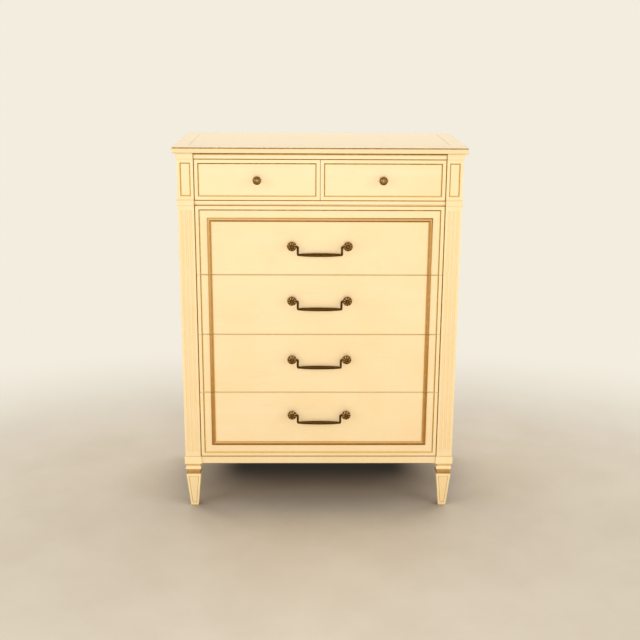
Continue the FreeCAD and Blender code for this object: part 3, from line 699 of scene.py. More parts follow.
class Glaze:
    """The brown glaze on a piece, and painted shade in its gaps and under its edges: WIPED to FULL at each
    corner of its faces, or a negative amount that marks painted light.
    """

    def __init__(self, bm: bmesh.types.BMesh) -> None:
        """Adds the layer that the paint reads."""
        self.bm = bm
        self.layer = bm.loops.layers.float.new(GLAZE_AND_SHADE_LAYER)

    def lay(self, rule: FaceRule) -> None:
        """Lays glaze on each whole face.

        Args:
            rule: Says how thick it lies on a face.
        """
        self.spread(self.bm.faces, rule)

    def spread(self, faces: Iterable[bmesh.types.BMFace], rule: FaceRule) -> None:
        """Lays glaze on some faces.

        Args:
            faces: The faces.
            rule: Says how thick it lies on a face.
        """
        for face in faces:
            amount = rule(face)
            for loop in face.loops:
                loop[self.layer] = amount

    def soften(self, width: float, amount: FaceRule, angle: float = math.radians(30),
               where: PlaceRule = everywhere) -> None:
        """Rounds every sharp outer edge a little, and sets the glaze on the rounding.

        Args:
            width: The rounding's width.
            amount: How thick the glaze lies on a face of the rounding.
            angle: The least angle that counts as sharp.
            where: Says from an edge's middle whether it is rounded.
        """
        edges = [edge for edge in self.bm.edges if len(edge.link_faces) == 2 and edge.is_convex
                 and edge.calc_face_angle() > angle and where((edge.verts[0].co + edge.verts[1].co) / 2)]
        made = bmesh.ops.bevel(self.bm, geom=edges, offset=width, offset_type="OFFSET", segments=2,
                               profile=0.5, affect="EDGES", clamp_overlap=True, material=-1)
        self.spread(made["faces"], amount)

    def shade(self, rule: Callable[[Vector], float], most: float) -> None:
        """Thickens the glaze at each corner.

        Args:
            rule: Says from a corner's place how much is added.
            most: How thick it can get by this.
        """
        for face in self.bm.faces:
            for loop in face.loops:
                held = loop[self.layer]
                loop[self.layer] = max(held, min(most, held + rule(loop.vert.co)))

    def beside(self, start: Vector, inward: Vector, width: float, amount: float) -> None:
        """Lets glaze and painted shade fade out across the front, in from an edge.

        Args:
            start: A point in line with the edge.
            inward: The level or upright direction from the edge onto the face.
            width: How far the glaze reaches.
            amount: How thick it lies at the edge.
        """
        faces = [face for face in self.bm.faces if face.normal.y < -0.5]
        edges = dict.fromkeys(edge for face in faces for edge in face.edges)
        verts = dict.fromkeys(vert for face in faces for vert in face.verts)
        bmesh.ops.bisect_plane(self.bm, geom=[*verts, *edges, *faces], dist=MERGE_DISTANCE,
                               plane_co=start + inward * width, plane_no=inward)
        for face in self.bm.faces:
            depths = [(vert.co - start).dot(inward) for vert in face.verts]
            if face.normal.y > -0.5 or min(depths) < -NEAR / 2 or max(depths) > width + SNUG:
                continue
            for loop in face.loops:
                share = 1 - (loop.vert.co - start).dot(inward) / width
                loop[self.layer] = max(loop[self.layer], amount * min(1.0, max(0.0, share)))

    def fade(self, faces: Sequence[bmesh.types.BMFace], width: float, amount: float,
             rest: float = WIPED) -> None:
        """Fades glaze out from the rim of some faces.

        Args:
            faces: The faces, which stay in the middle.
            width: How far in the glaze reaches.
            amount: How thick it lies at the rim.
            rest: How thick it lies in the middle.
        """
        made = bmesh.ops.inset_region(self.bm, faces=list(faces), thickness=width, use_even_offset=True)
        middle = {vert for face in faces for vert in face.verts}
        for face in (*made["faces"], *faces):
            for loop in face.loops:
                loop[self.layer] = rest if loop.vert in middle else amount


def slanted(face: bmesh.types.BMFace) -> bool:
    """Tells whether a face leans away from all three axes' planes."""
    return max(abs(value) for value in face.normal) < LEVEL


def upright(face: bmesh.types.BMFace) -> bool:
    """Tells whether a face stands upright."""
    return abs(face.normal.z) < 0.1


def shade_by_facing(face: bmesh.types.BMFace, under: float, beside: float, above: float) -> float:
    """Picks an amount of glaze and painted shade by the way a face looks: more where it looks down, less
    where it looks up.

    Args:
        face: The face.
        under: The amount where it looks down.
        beside: The amount where it looks sideways or out.
        above: The amount where it looks up.

    Returns:
        One of the amounts.
    """
    if abs(face.normal.z) < 0.25:
        return beside
    return under if face.normal.z < 0 else above


def raw_behind(bm: bmesh.types.BMesh, depth: float, where: PlaceRule = everywhere) -> None:
    """Gives the faces behind a depth the second finish, raw wood.

    Args:
        bm: The mesh.
        depth: Y of the depth.
        where: Says from a face's middle whether it can be raw.
    """
    for face in bm.faces:
        middle = face.calc_center_median()
        face.material_index = 1 if middle.y > depth and where(middle) else 0


@dataclass(frozen=True)
class FootLevels:
    """The heights between the mouldings of a foot, and how thick the glaze and the painted shade under the
    torus lie on them.
    """

    leg_top: float = 0.1268
    cove_top: float = 0.1409
    torus_top: float = 0.1553
    block_bottom: float = 0.1660
    panel_clear: float = 0.004
    least_panel: float = 0.0008
    cove: float = 0.5
    cove_bottom: float = 0.4
    # Painted shade on the faces that look down under the torus
    shade_under_torus: float = 0.4
    neck: float = 0.3

    def glazed(self, face: bmesh.types.BMFace) -> float:
        """Reads the amount of glaze from the moulding that a face belongs to.

        Args:
            face: The face.

        Returns:
            How thick the glaze lies on it.
        """
        middle = face.calc_center_median().z
        if middle < self.leg_top:
            return WIPED
        if middle < self.cove_top:
            depth = (self.cove_top - middle) / (self.cove_top - self.leg_top)
            return self.cove + self.cove_bottom * depth
        if middle < self.torus_top:
            return self.shade_under_torus if face.normal.z < -0.3 else WIPED
        return self.neck if middle < self.block_bottom else WIPED

    def panels(self, bm: bmesh.types.BMesh) -> list[bmesh.types.BMFace]:
        """Finds the sunk panels of the legs: the upright faces that end short of the leg's top and tip.

        Args:
            bm: The feet's mesh.

        Returns:
            The panels' faces.
        """
        found = []
        for face in bm.faces:
            heights = [vert.co.z for vert in face.verts]
            tall = max(heights) - min(heights) > 0.5 * self.leg_top
            short = min(heights) > self.panel_clear and max(heights) < self.leg_top - self.panel_clear
            across = max(abs(face.normal.x), abs(face.normal.y)) > 0.9
            if tall and short and across and face.calc_area() > self.least_panel:
                found.append(face)
        return found


@dataclass
class PaintedJoinery:
    """The painted boards and mouldings of the case, with their edges softened by sanding."""

    finishes: Finishes
    board_edge: float = 0.0007
    moulding_edge: float = 0.0005
    paint_depth: float = 0.010
    quirk_reach: float = 0.0035
    quirk_edge: float = 0.0018
    line_depth: float = 0.0012
    lip_fade: float = 0.0030
    gap_fade: float = 0.0020
    panel_fade: float = 0.0022
    flute_reach: float = 0.005
    panel_sunk: tuple[float, float] = (0.0015, 0.004)
    # Painted shade on the slab's underside, and painted shadow along its lower edge and on the frieze under
    # it
    underside: float = 0.9
    line_walls: float = 0.75
    shadow_below_slab_edge: float = 0.8
    shadow_under_slab: float = 1.6
    # Painted shade in the mid rail's cove and under the rails
    cove: float = 0.1
    rail_below: float = 0.2
    # Painted shade beside the drawer opening, on the pilaster's panel slopes by the way they face, and
    # faintly in its flutes
    opening_lip: float = 0.75
    panel_slopes: tuple[float, float, float] = (0.85, 0.68, 0.5)
    panel_rim: float = 0.5
    flutes: float = 0.03
    # Painted shade on the caps: under and on their ledges by the way they face, and at the opening
    cap_ledges: tuple[float, float, float] = (0.6, WIPED, 0.3)
    cap_edges: tuple[float, float] = (0.8, 0.1)
    foot_panel_rim: float = 0.7
    foot_panel: float = 0.05

    def build(self) -> None:
        """Builds and dresses every painted piece of the case."""
        self.top()
        for side in ("left", "right"):
            self.pilaster(side + "_pilaster")
            self.plain(side + "_side", self.finishes.upright)
        # The frieze's edges take painted shade at the gaps and painted shadow under the slab
        self.rail("frieze_rail", above=0.9, below=0.9, corner=0.0088)
        self.rail("mid_rail", above=0.8)
        self.rail("apron_rails", above=0.9, painted_behind=True)
        for node in ("upper_caps", "mid_caps"):
            self.caps(node)
        for node in ("front_feet", "rear_feet"):
            self.feet(node)

    def finish(self, node: str, bm: bmesh.types.BMesh, material: bpy.types.Material,
               slot: str = "painted_case") -> None:
        """Replaces a node of the case by its finished mesh."""
        piece = Piece(node + "_painted", "case", slot, material, (node,))
        piece.finish(bm, more=(self.finishes.inner_across,))

    def plain(self, node: str, material: bpy.types.Material) -> None:
        """Builds a flat board.

        Args:
            node: The board's node.
            material: Its finish.
        """
        bm = merged_copy(node)
        Glaze(bm).soften(self.board_edge, lambda face: WIPED)
        self.finish(node, bm, material)

    def top(self) -> None:
        """Builds the slab, with glaze in its quirk and in the scribed line, and painted shade on its
        underside and along its lower edge.
        """
        node = "top_panel"
        low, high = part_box(node)
        bm = merged_copy(node)
        glaze = Glaze(bm)

        def laid(face: bmesh.types.BMFace) -> float:
            """Finds the quirk, the scribed line and the underside, which takes painted shade.

            Args:
                face: The face.

            Returns:
                How thick the glaze lies on it.
            """
            middle = face.calc_center_median()
            inset = min(middle.x - low.x, high.x - middle.x, middle.y - low.y)
            below = high.z - middle.z
            sunk = inset > SNUG and below < self.quirk_reach + NEAR and middle.y < high.y - NEAR
            if abs(face.normal.z) > LEVEL and SNUG < below < self.line_depth:
                return FULL
            if face.normal.z < -LEVEL and middle.z < low.z + SNUG:
                return self.underside
            if sunk and inset < self.quirk_reach and not slanted(face) and below > CLOSE:
                return FULL
            return self.line_walls if sunk and inset > self.quirk_reach and upright(face) else WIPED

        def rounded(face: bmesh.types.BMFace) -> float:
            """Finds the edges of the quirk, and the slab's lower edge, which takes painted shadow.

            Args:
                face: A face of a rounded edge.

            Returns:
                How thick the glaze lies on it.
            """
            middle = face.calc_center_median()
            quirk = self.quirk_reach - self.quirk_edge < high.z - middle.z < self.quirk_reach + NEAR
            return FULL if middle.z < low.z + NEAR or quirk else WIPED

        glaze.lay(laid)
        glaze.soften(self.moulding_edge, rounded, angle=math.radians(50))
        up = Axis.UP.value
        glaze.beside(Vector((0.0, low.y, high.z - self.quirk_reach - CLOSE)), -up, self.lip_fade, FULL)
        # Painted shadow fading up from the slab's lower edge
        glaze.beside(low, up, self.gap_fade, self.shadow_below_slab_edge)
        self.finish(node, bm, self.finishes.top, "painted_top")

    def rail(self, node: str, above: float = 0.0, below: float = 0.0, corner: float = 0.0,
             painted_behind: bool = False) -> None:
        """Builds a rail, with glaze and painted shade in its cove, on its underside and where a drawer front
        passes it.

        Args:
            node: The rail's node.
            above: How thick the glaze and painted shade lie along its upper edge.
            below: The same along its lower edge.
            corner: How far down painted shadow lies in the corner under the slab.
            painted_behind: Leaves no raw wood on its back.
        """
        low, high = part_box(node)
        bm = merged_copy(node)
        if not painted_behind:
            cut_across(bm, low.y + self.paint_depth)
        glaze = Glaze(bm)

        def laid(face: bmesh.types.BMFace) -> float:
            """Finds the cove and the faces at a gap.

            Args:
                face: The face.

            Returns:
                How thick the glaze lies on it.
            """
            if slanted(face):
                return self.cove
            if face.normal.z > LEVEL:
                return above
            return below or self.rail_below if face.normal.z < -LEVEL else WIPED

        glaze.lay(laid)
        glaze.soften(self.board_edge, lambda face: EDGE_SHARE * (above if face.normal.z > 0.1 else below))
        up = Axis.UP.value
        if above:
            glaze.beside(high, -up, self.gap_fade, LIP_SHARE * above)
        if corner:
            # Painted shadow that the slab casts on the frieze's top
            glaze.beside(high, -up, corner, self.shadow_under_slab)
        if below:
            glaze.beside(low, up, self.gap_fade, LIP_SHARE * below)
        if not painted_behind:
            raw_behind(bm, low.y + self.paint_depth)
        self.finish(node, bm, self.finishes.across)

    def pilaster(self, node: str) -> None:
        """Builds a pilaster, with glaze round its panel, and glaze and painted shade on its panel's slopes,
        in its flutes and at the opening.

        Args:
            node: The pilaster's node.
        """
        low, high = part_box(node)
        outer = max(abs(low.x), abs(high.x))
        inner = min(abs(low.x), abs(high.x))
        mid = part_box("mid_caps")[1].z
        bm = merged_copy(node)
        cut_across(bm, low.y + self.paint_depth)
        glaze = Glaze(bm)

        def laid(face: bmesh.types.BMFace) -> float:
            """Finds the panel's slopes, the flutes and the face at the opening.

            Args:
                face: The face.

            Returns:
                How thick the glaze lies on it.
            """
            middle = face.calc_center_median()
            if abs(abs(middle.x) - inner) < CLOSE:
                return FULL
            if not slanted(face) or middle.y > low.y + self.flute_reach:
                return WIPED
            return shade_by_facing(face, *self.panel_slopes) if middle.z > mid else self.flutes

        def rounded(face: bmesh.types.BMFace) -> float:
            """Finds the edge at the opening."""
            x = face.calc_center_median().x
            return EDGE_SHARE if abs(x) < inner + NEAR and face.normal.x * x < 0 else WIPED

        glaze.lay(laid)
        glaze.soften(self.moulding_edge, rounded, angle=math.radians(38))
        least, most = self.panel_sunk
        sunk = [face for face in bm.faces if face.normal.y < -LEVEL and face.calc_center_median().z > mid
                and least < face.calc_center_median().y - low.y < most]
        glaze.fade(sunk, self.panel_fade, self.panel_rim)
        side = math.copysign(1.0, low.x + high.x)
        glaze.beside(Vector((side * inner, low.y, low.z)), side * Axis.TO_RIGHT.value, self.gap_fade,
                     self.opening_lip)
        raw_behind(bm, low.y + self.paint_depth, lambda middle: abs(middle.x) < outer - NEAR)
        self.finish(node, bm, self.finishes.upright)

    def caps(self, node: str) -> None:
        """Builds a pair of cap mouldings, with glaze and painted shade where they meet the pilaster and the
        rail, and painted shade under their ledges.

        Args:
            node: The caps' node.
        """
        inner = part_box("right_pilaster")[0].x
        bm = merged_copy(node)
        glaze = Glaze(bm)

        def laid(face: bmesh.types.BMFace) -> float:
            """Finds the faces at the opening and the undersides.

            Args:
                face: The face.

            Returns:
                How thick the glaze lies on it.
            """
            if abs(abs(face.calc_center_median().x) - inner) < NEAR / 2:
                return FULL
            return shade_by_facing(face, *self.cap_ledges) if abs(face.normal.z) > LEVEL else WIPED

        glaze.lay(laid)
        at_opening, elsewhere = self.cap_edges
        glaze.soften(self.moulding_edge, lambda face: at_opening if laid(face) == FULL else elsewhere)
        for side in (-1.0, 1.0):
            glaze.beside(Vector((side * inner, 0.0, 0.0)), side * Axis.TO_RIGHT.value, self.gap_fade,
                         self.opening_lip)
        self.finish(node, bm, self.finishes.across)

    def feet(self, node: str) -> None:
        """Builds a pair of feet, with glaze in their coves, necks and panels, and painted shade under the
        torus.

        Args:
            node: The feet's node.
        """
        bm = merged_copy(node)
        glaze = Glaze(bm)
        levels = FootLevels()
        glaze.lay(levels.glazed)
        glaze.fade(levels.panels(bm), self.panel_fade, self.foot_panel_rim, rest=self.foot_panel)
        glaze.soften(self.board_edge, levels.glazed, angle=math.radians(40))
        self.finish(node, bm, self.finishes.feet)


@dataclass
class Drawer:
    """One drawer: a painted front on a plain wooden box."""

    name: str
    finishes: Finishes
    open_below: bool = False
    open_above: bool = False
    edge: float = 0.0006
    joint_edge: float = 0.00015
    painted_depth: float = 0.012
    glazed_depth: float = 0.003
    edge_reach: float = 0.002
    gap_fade: float = 0.0020
    groove_fade: float = 0.0032
    # Glaze on the board's edges and beside them is painted shade of the gaps; the groove's slopes take glaze
    # and painted shade by the way they face
    lower_edge: float = FULL
    upper_edge: float = FULL
    inner_edge: float = 0.35
    outer_lip: float = 0.75
    inner_lip: float = 0.15
    groove_slopes: tuple[float, float, float] = (FULL, 0.8, 0.46)
    groove_rim: float = 0.46
    groove_edges: float = 0.6

    def build(self) -> None:
        """Dresses the front and the box."""
        self.front()
        deep, across = self.finishes.drawer_deep, self.finishes.drawer_across
        for part, material in (("sides", deep), ("bottom", self.finishes.inner_across), ("back", across)):
            dress(f"{self.name}_{part}", material)

    def front(self) -> None:
        """Builds the front, painted outside and plain wood behind, with glaze in its grooves, painted shade
        at its gaps and on the groove's slopes, and painted light in joints with another drawer.
        """
        node = self.name + "_front"
        low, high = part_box(node)
        outer = max(abs(low.x), abs(high.x))
        bm = merged_copy(node)
        for depth in (self.glazed_depth, self.painted_depth):
            cut_across(bm, low.y + depth)
        glaze = Glaze(bm)

        def shared(place: Vector) -> bool:
            """Tells whether a place is at an edge that meets another long drawer."""
            below, above = place.z < low.z + self.edge_reach, place.z > high.z - self.edge_reach
            return (self.open_below and below) or (self.open_above and above)

        def at_gap(face: bmesh.types.BMFace) -> float | None:
            """Says how much glaze and painted shade an edge of the board holds, and marks painted light
            where it meets another drawer.

            Args:
                face: The face.

            Returns:
                The amount, or None away from the edges.
            """
            middle = face.calc_center_median()
            if shared(middle):
                # Painted light on the walls of a joint with another drawer
                return PAINTED_LIGHT
            if middle.y > low.y + self.glazed_depth:
                return WIPED
            if abs(middle.x) > outer - self.edge_reach:
                return FULL
            if min(abs(middle.x - low.x), abs(high.x - middle.x)) < self.edge_reach:
                return self.inner_edge
            if middle.z < low.z + self.edge_reach:
                return self.lower_edge
            return self.upper_edge if middle.z > high.z - self.edge_reach else None

        def laid(face: bmesh.types.BMFace) -> float:
            """Finds the groove's slopes and the board's edges.

            Args:
                face: The face.

            Returns:
                How thick the glaze lies on it.
            """
            if slanted(face) and face.calc_center_median().y < low.y + FIELD_STEP:
                return shade_by_facing(face, *self.groove_slopes)
            return at_gap(face) or WIPED if abs(face.normal.y) < 0.1 else WIPED

        def rounded(face: bmesh.types.BMFace) -> float:
            """Takes the glaze of the edge, or of the groove away from it."""
            edge = at_gap(face)
            return self.groove_edges * laid(face) if edge is None else EDGE_SHARE * edge

        glaze.lay(laid)
        glaze.soften(self.edge, rounded, where=lambda place: not shared(place))
        glaze.soften(self.joint_edge, rounded, where=shared)
        sunk = [face for face in bm.faces if face.normal.y < -LEVEL
                and abs(face.calc_center_median().y - low.y - FIELD_STEP) < CLOSE]
        glaze.fade(sunk, self.groove_fade, self.groove_rim)
        across, up = Axis.TO_RIGHT.value, Axis.UP.value
        for start, inward in ((low, across), (high, -across)):
            lip = self.outer_lip if abs(start.x) > outer - NEAR else self.inner_lip
            glaze.beside(start, inward, self.gap_fade, lip)
        for start, inward, amount, meets in ((low, up, self.lower_edge, self.open_below),
                                             (high, -up, self.upper_edge, self.open_above)):
            if not meets:
                glaze.beside(start, inward, self.gap_fade, LIP_SHARE * amount)
        raw_behind(bm, low.y + self.painted_depth)
        piece = Piece(node + "_painted", self.name, "painted_case", self.finishes.front, (node,))
        piece.finish(bm, more=(self.finishes.drawer_across,))


@dataclass
class Bead:
    """The glazed bead round the long drawers, an upright each side and mitred runs at its ends."""

    drawer: str
    finishes: Finishes
    top: float = 1.083
    upright: float = 0.366
    leaning: float = 0.12
    inner_side: float = 0.42
    outer_side: float = 0.2
    # Painted shade on the faces of the runs that look down
    shade_below_run: float = 0.92
    top_run: float = 0.04
    bottom_run: float = 0.12
    towards_floor: float = 0.75
    on_right: float = 0.12
    thickest: float = 0.62

    def build(self) -> None:
        """Builds the drawer's lengths of bead, with the glaze thick on their inner sides, painted shade
        under the runs, and darker towards the floor and on the right.
        """
        node = self.drawer + "_bead"
        bm = merged_copy(node)
        glaze = Glaze(bm)

        def laid(face: bmesh.types.BMFace) -> float:
            """Reads the amount from the run that the face belongs to and the way it looks.

            Args:
                face: The face.

            Returns:
                How thick the glaze lies on it.
            """
            middle = face.calc_center_median()
            places = [vert.co for vert in face.verts]
            wide = max(place.x for place in places) - min(place.x for place in places)
            tall = max(place.z for place in places) - min(place.z for place in places)
            if wide <= tall:
                inward = -face.normal.x * math.copysign(1.0, middle.x)
                return self.inner_side if inward > self.leaning else self.outer_side
            if face.normal.z < -self.leaning:
                return self.shade_below_run
            return self.top_run if middle.z > self.top / 2 else self.bottom_run

        def darker(place: Vector) -> float:
            """Darkens the uprights towards the floor and on the right.

            Args:
                place: A corner's place.

            Returns:
                How much glaze is added there.
            """
            if abs(place.x) <= self.upright:
                return WIPED
            side = self.on_right if place.x > 0 else WIPED
            return self.towards_floor * (1 - place.z / self.top) ** 2 + side

        glaze.lay(laid)
        glaze.shade(darker, self.thickest)
        Piece(node + "_glazed", self.drawer, "glazed_bead", self.finishes.bead, (node,),
              crease=math.radians(40)).finish(bm)


def dress(node: str, material: bpy.types.Material) -> None:
    """Gives a carried node its finish.

    Args:
        node: The node's name.
        material: The finish.
    """
    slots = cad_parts[node].data.materials
    slots.clear()
    slots.append(material)


def turned(bm: bmesh.types.BMesh, outline: Sequence[tuple[float, float]], origin: Vector, axis: Vector,
           steps: int) -> list[bmesh.types.BMVert]:
    """Turns an outline about an axis, as on a lathe.

    Args:
        bm: The mesh that it goes into.
        outline: Each point's radius and its distance along the axis.
        origin: Where the axis starts.
        axis: The axis's direction, level.
        steps: The number of faces round.

    Returns:
        The new vertices.
    """
    before = set(bm.verts)
    aside = axis.cross(Axis.UP.value).normalized()
    points = [bm.verts.new(origin + axis * along + aside * radius) for radius, along in outline]
    edges = [bm.edges.new(pair) for pair in zip(points, points[1:])]
    bmesh.ops.spin(bm, geom=points + edges, cent=origin, axis=axis, angle=math.tau, steps=steps,
                   use_merge=True, use_duplicate=False)
    fresh = [vert for vert in bm.verts if vert not in before]
    bmesh.ops.remove_doubles(bm, verts=fresh, dist=MERGE_DISTANCE)
    return [vert for vert in bm.verts if vert not in before]


def swept(bm: bmesh.types.BMesh, stations: Sequence[Ring], sides: int) -> None:
    """Draws a round section along a path in an upright plane.

    Args:
        bm: The mesh that it goes into.
        stations: Each ring's centre, direction and radius.
        sides: The number of faces round.
    """
    def placed(station: Ring) -> Matrix:
        """Places a circle of radius 1 as a ring.

        Args:
            station: The ring's centre, direction and radius.

        Returns:
            The matrix.
        """
        centre, along, radius = station
        out = Axis.TO_FRONT.value
        turn = Matrix((out, along.cross(out), along)).transposed().to_4x4()
        return Matrix.Translation(centre) @ turn @ Matrix.Scale(radius, 4)

    first = bmesh.ops.create_circle(bm, cap_ends=False, radius=1.0, segments=sides,
                                    matrix=placed(stations[0]))
    edges = list(dict.fromkeys(edge for vert in first["verts"] for edge in vert.link_edges))
    ends = list(edges)
    for before, after in zip(stations, stations[1:]):
        made = bmesh.ops.extrude_edge_only(bm, edges=edges)["geom"]
        verts = [item for item in made if isinstance(item, bmesh.types.BMVert)]
        edges = [item for item in made if isinstance(item, bmesh.types.BMEdge)]
        bmesh.ops.transform(bm, matrix=placed(after) @ placed(before).inverted(), verts=verts)
    bmesh.ops.holes_fill(bm, edges=ends + edges, sides=0)


@dataclass(frozen=True)
class StudAndNut:
    """What holds a knob or a post fast behind a drawer front."""

    radius: float = 0.0022
    overlap: float = 0.001
    steps: int = 16
    nut_radius: float = 0.0052
    nut_thickness: float = 0.004
    nut_sides: int = 6

    def build(self, bm: bmesh.types.BMesh, origin: Vector, end: float, seat: float) -> None:
        """Builds the stud and its nut.

        Args:
            bm: The mesh that they go into.
            origin: Where the stud leaves the drawer's field.
            end: How far behind the field the stud ends.
            seat: How far behind it the nut starts.
        """
        out = Axis.TO_FRONT.value
        turned(bm, [(0.0, -end), (self.radius, -end), (self.radius, self.overlap), (0.0, self.overlap)],
               origin, out, self.steps)
        nut_end = seat + self.nut_thickness
        turned(bm, [(self.radius, -seat), (self.nut_radius, -seat), (self.nut_radius, -nut_end),
                    (self.radius, -nut_end)], origin, out, self.nut_sides)


@dataclass
class Knob:
    """A turned bronze knob with its stud and nut."""

    drawer: str
    finishes: Finishes
    flange_radius: float = 0.0085
    flange_thickness: float = 0.0012
    flange_edge: float = 0.0008
    shoulder: float = 0.0022
    stem_radius: float = 0.0046
    stem_flare: float = 0.0012
    stem_foot: float = 0.0032
    stem_start: float = 0.0055
    stem_end: float = 0.0080
    neck: float = 0.0058
    neck_flare: float = 0.0015
    head_radius: float = 0.0140
    head_front: float = 0.0095
    head_back: float = 0.0075
    head_start: float = math.radians(-50)
    head_steps: int = 14
    rubbed: float = 0.24
    rubbed_depth: float = 0.010
    steps: int = 56

    def build(self) -> None:
        """Builds the knob in place of its node."""
        node = self.drawer + "_knob"
        low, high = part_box(node)
        front_low, front_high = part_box(self.drawer + "_front")
        field_y = front_low.y + FIELD_STEP
        origin = Vector(((low.x + high.x) / 2, field_y, (low.z + high.z) / 2))
        bm = bmesh.new()
        layer = bm.verts.layers.float.new(RUBBED_AND_HIGHLIGHT_LAYER)
        for vert in turned(bm, self.outline(field_y - low.y), origin, Axis.TO_FRONT.value, self.steps):
            # Brighter towards the front of the head: rubbed wear, and a painted highlight
            vert[layer] = self.rubbed * max(0.0, 1 - (vert.co.y - low.y) / self.rubbed_depth)
        StudAndNut().build(bm, origin, high.y - field_y, front_high.y - field_y)
        bmesh.ops.recalc_face_normals(bm, faces=bm.faces)
        Piece(node + "_turned", self.drawer, "antique_bronze", self.finishes.bronze, (node,)).finish(bm)

    def outline(self, length: float) -> list[tuple[float, float]]:
        """The knob's outline from the field out: flange, waisted stem and domed head.

        Args:
            length: How far it stands out from the field.

        Returns:
            Radii and distances.
        """
        rim = length - self.head_front
        points = [(0.0, 0.0), (self.flange_radius, 0.0), (self.flange_radius, self.flange_thickness),
                  (self.flange_radius - self.flange_edge, self.shoulder),
                  (self.stem_radius + self.stem_flare, self.stem_foot),
                  (self.stem_radius, self.stem_start), (self.stem_radius, rim - self.stem_end),
                  (self.stem_radius + self.neck_flare, rim - self.neck)]
        arc = math.pi / 2 - self.head_start
        for index in range(self.head_steps):
            angle = self.head_start + arc * index / self.head_steps
            swell = self.head_back if angle < 0 else self.head_front
            points.append((self.head_radius * math.cos(angle), rim + swell * math.sin(angle)))
        return [*points, (0.0, length)]


@dataclass(frozen=True)
class Rosette:
    """A cast rosette: petals that turn round a raised button.

    Places on it are shares of its radius or thickness; heights and depths are in metres.
    """

    radius: float = 0.01575
    thickness: float = 0.008
    petals: int = 8
    faces_per_petal: int = 14
    rings: int = 12
    foot: float = 0.93
    rim: float = 0.985
    dome_radius: float = 0.97
    dome_start: float = 0.36
    dome_rise: float = 0.5
    twist: float = 0.55
    petal_start: float = 0.26
    petal_blend: float = 0.2
    petal_relief: float = 0.0022
    petal_sharpness: float = 0.6
    petal_sink: float = 0.75
    valley: float = 0.55
    crest: float = 0.8
    crest_ring: float = 0.66
    crest_width: float = 0.3
    button_radius: float = 0.24
    button_height: float = 0.0016
    eye_radius: float = 0.30
    eye_width: float = 0.05
    eye_depth: float = 0.0012
    middle: float = 0.0001

    def outline(self) -> list[tuple[float, float]]:
        """The plain rosette's outline, from the middle of its back to the middle of its front.

        Returns:
            Radii and distances.
        """
        radius, thick = self.radius, self.thickness
        points = [(0.0, 0.0), (radius * self.foot, 0.0), (radius * self.rim, thick * 0.1),
                  (radius, thick * 0.2), (radius * self.rim, thick * 0.32)]
        for index in range(1, self.rings):
            share = index / self.rings
            rise = self.dome_start + self.dome_rise * math.sin(share * math.pi / 2)
            points.append((radius * (1 - share) * self.dome_radius, thick * rise))
        return [*points, (0.0, thick * (self.dome_start + self.dome_rise))]

    def build(self, bm: bmesh.types.BMesh, origin: Vector) -> None:
        """Builds one rosette.

        Args:
            bm: The mesh that it goes into.
            origin: The middle of its back.
        """
        out = Axis.TO_FRONT.value
        layers = bm.verts.layers.float
        low = layers.get(GLAZE_AND_SHADE_LAYER) or layers.new(GLAZE_AND_SHADE_LAYER)
        high = layers.get(RUBBED_AND_HIGHLIGHT_LAYER) or layers.new(RUBBED_AND_HIGHLIGHT_LAYER)
        for vert in turned(bm, self.outline(), origin, out, self.petals * self.faces_per_petal):
            offset = vert.co - origin
            along = offset.dot(out)
            level = offset - out * along
            share = level.length / self.radius
            if share < self.middle:
                if along > self.thickness / 2:
                    vert.co += out * (self.thickness - along)
                    # Painted highlight on the button's top, with rubbed wear
                    vert[high] = 0.8
                continue
            if along < self.thickness * 0.3:
                continue
            angle = math.atan2(level.z, level.x) + share * self.twist
            ridge = abs(math.cos(self.petals * angle / 2))
            petal = min(1.0, max(0.0, (share - self.petal_start) / self.petal_blend))
            button = max(0.0, 1 - (share / self.button_radius) ** 2) * self.button_height
            eye = math.exp(-((share - self.eye_radius) / self.eye_width) ** 2)
            relief = (ridge ** self.petal_sharpness - self.petal_sink) * self.petal_relief
            vert.co += out * (petal * relief + button - self.eye_depth * eye)
            # Valleys and eye ring darker, painted shade with the patina of the hollows; crests brighter,
            # rubbed wear and a painted highlight
            vert[low] = min(1.0, petal * max(0.0, 1 - ridge / self.valley) + eye)
            crest = max(0.0, (ridge - self.crest) / (1 - self.crest))
            vert[high] = petal * crest * max(0.0, 1 - abs(share - self.crest_ring) / self.crest_width)


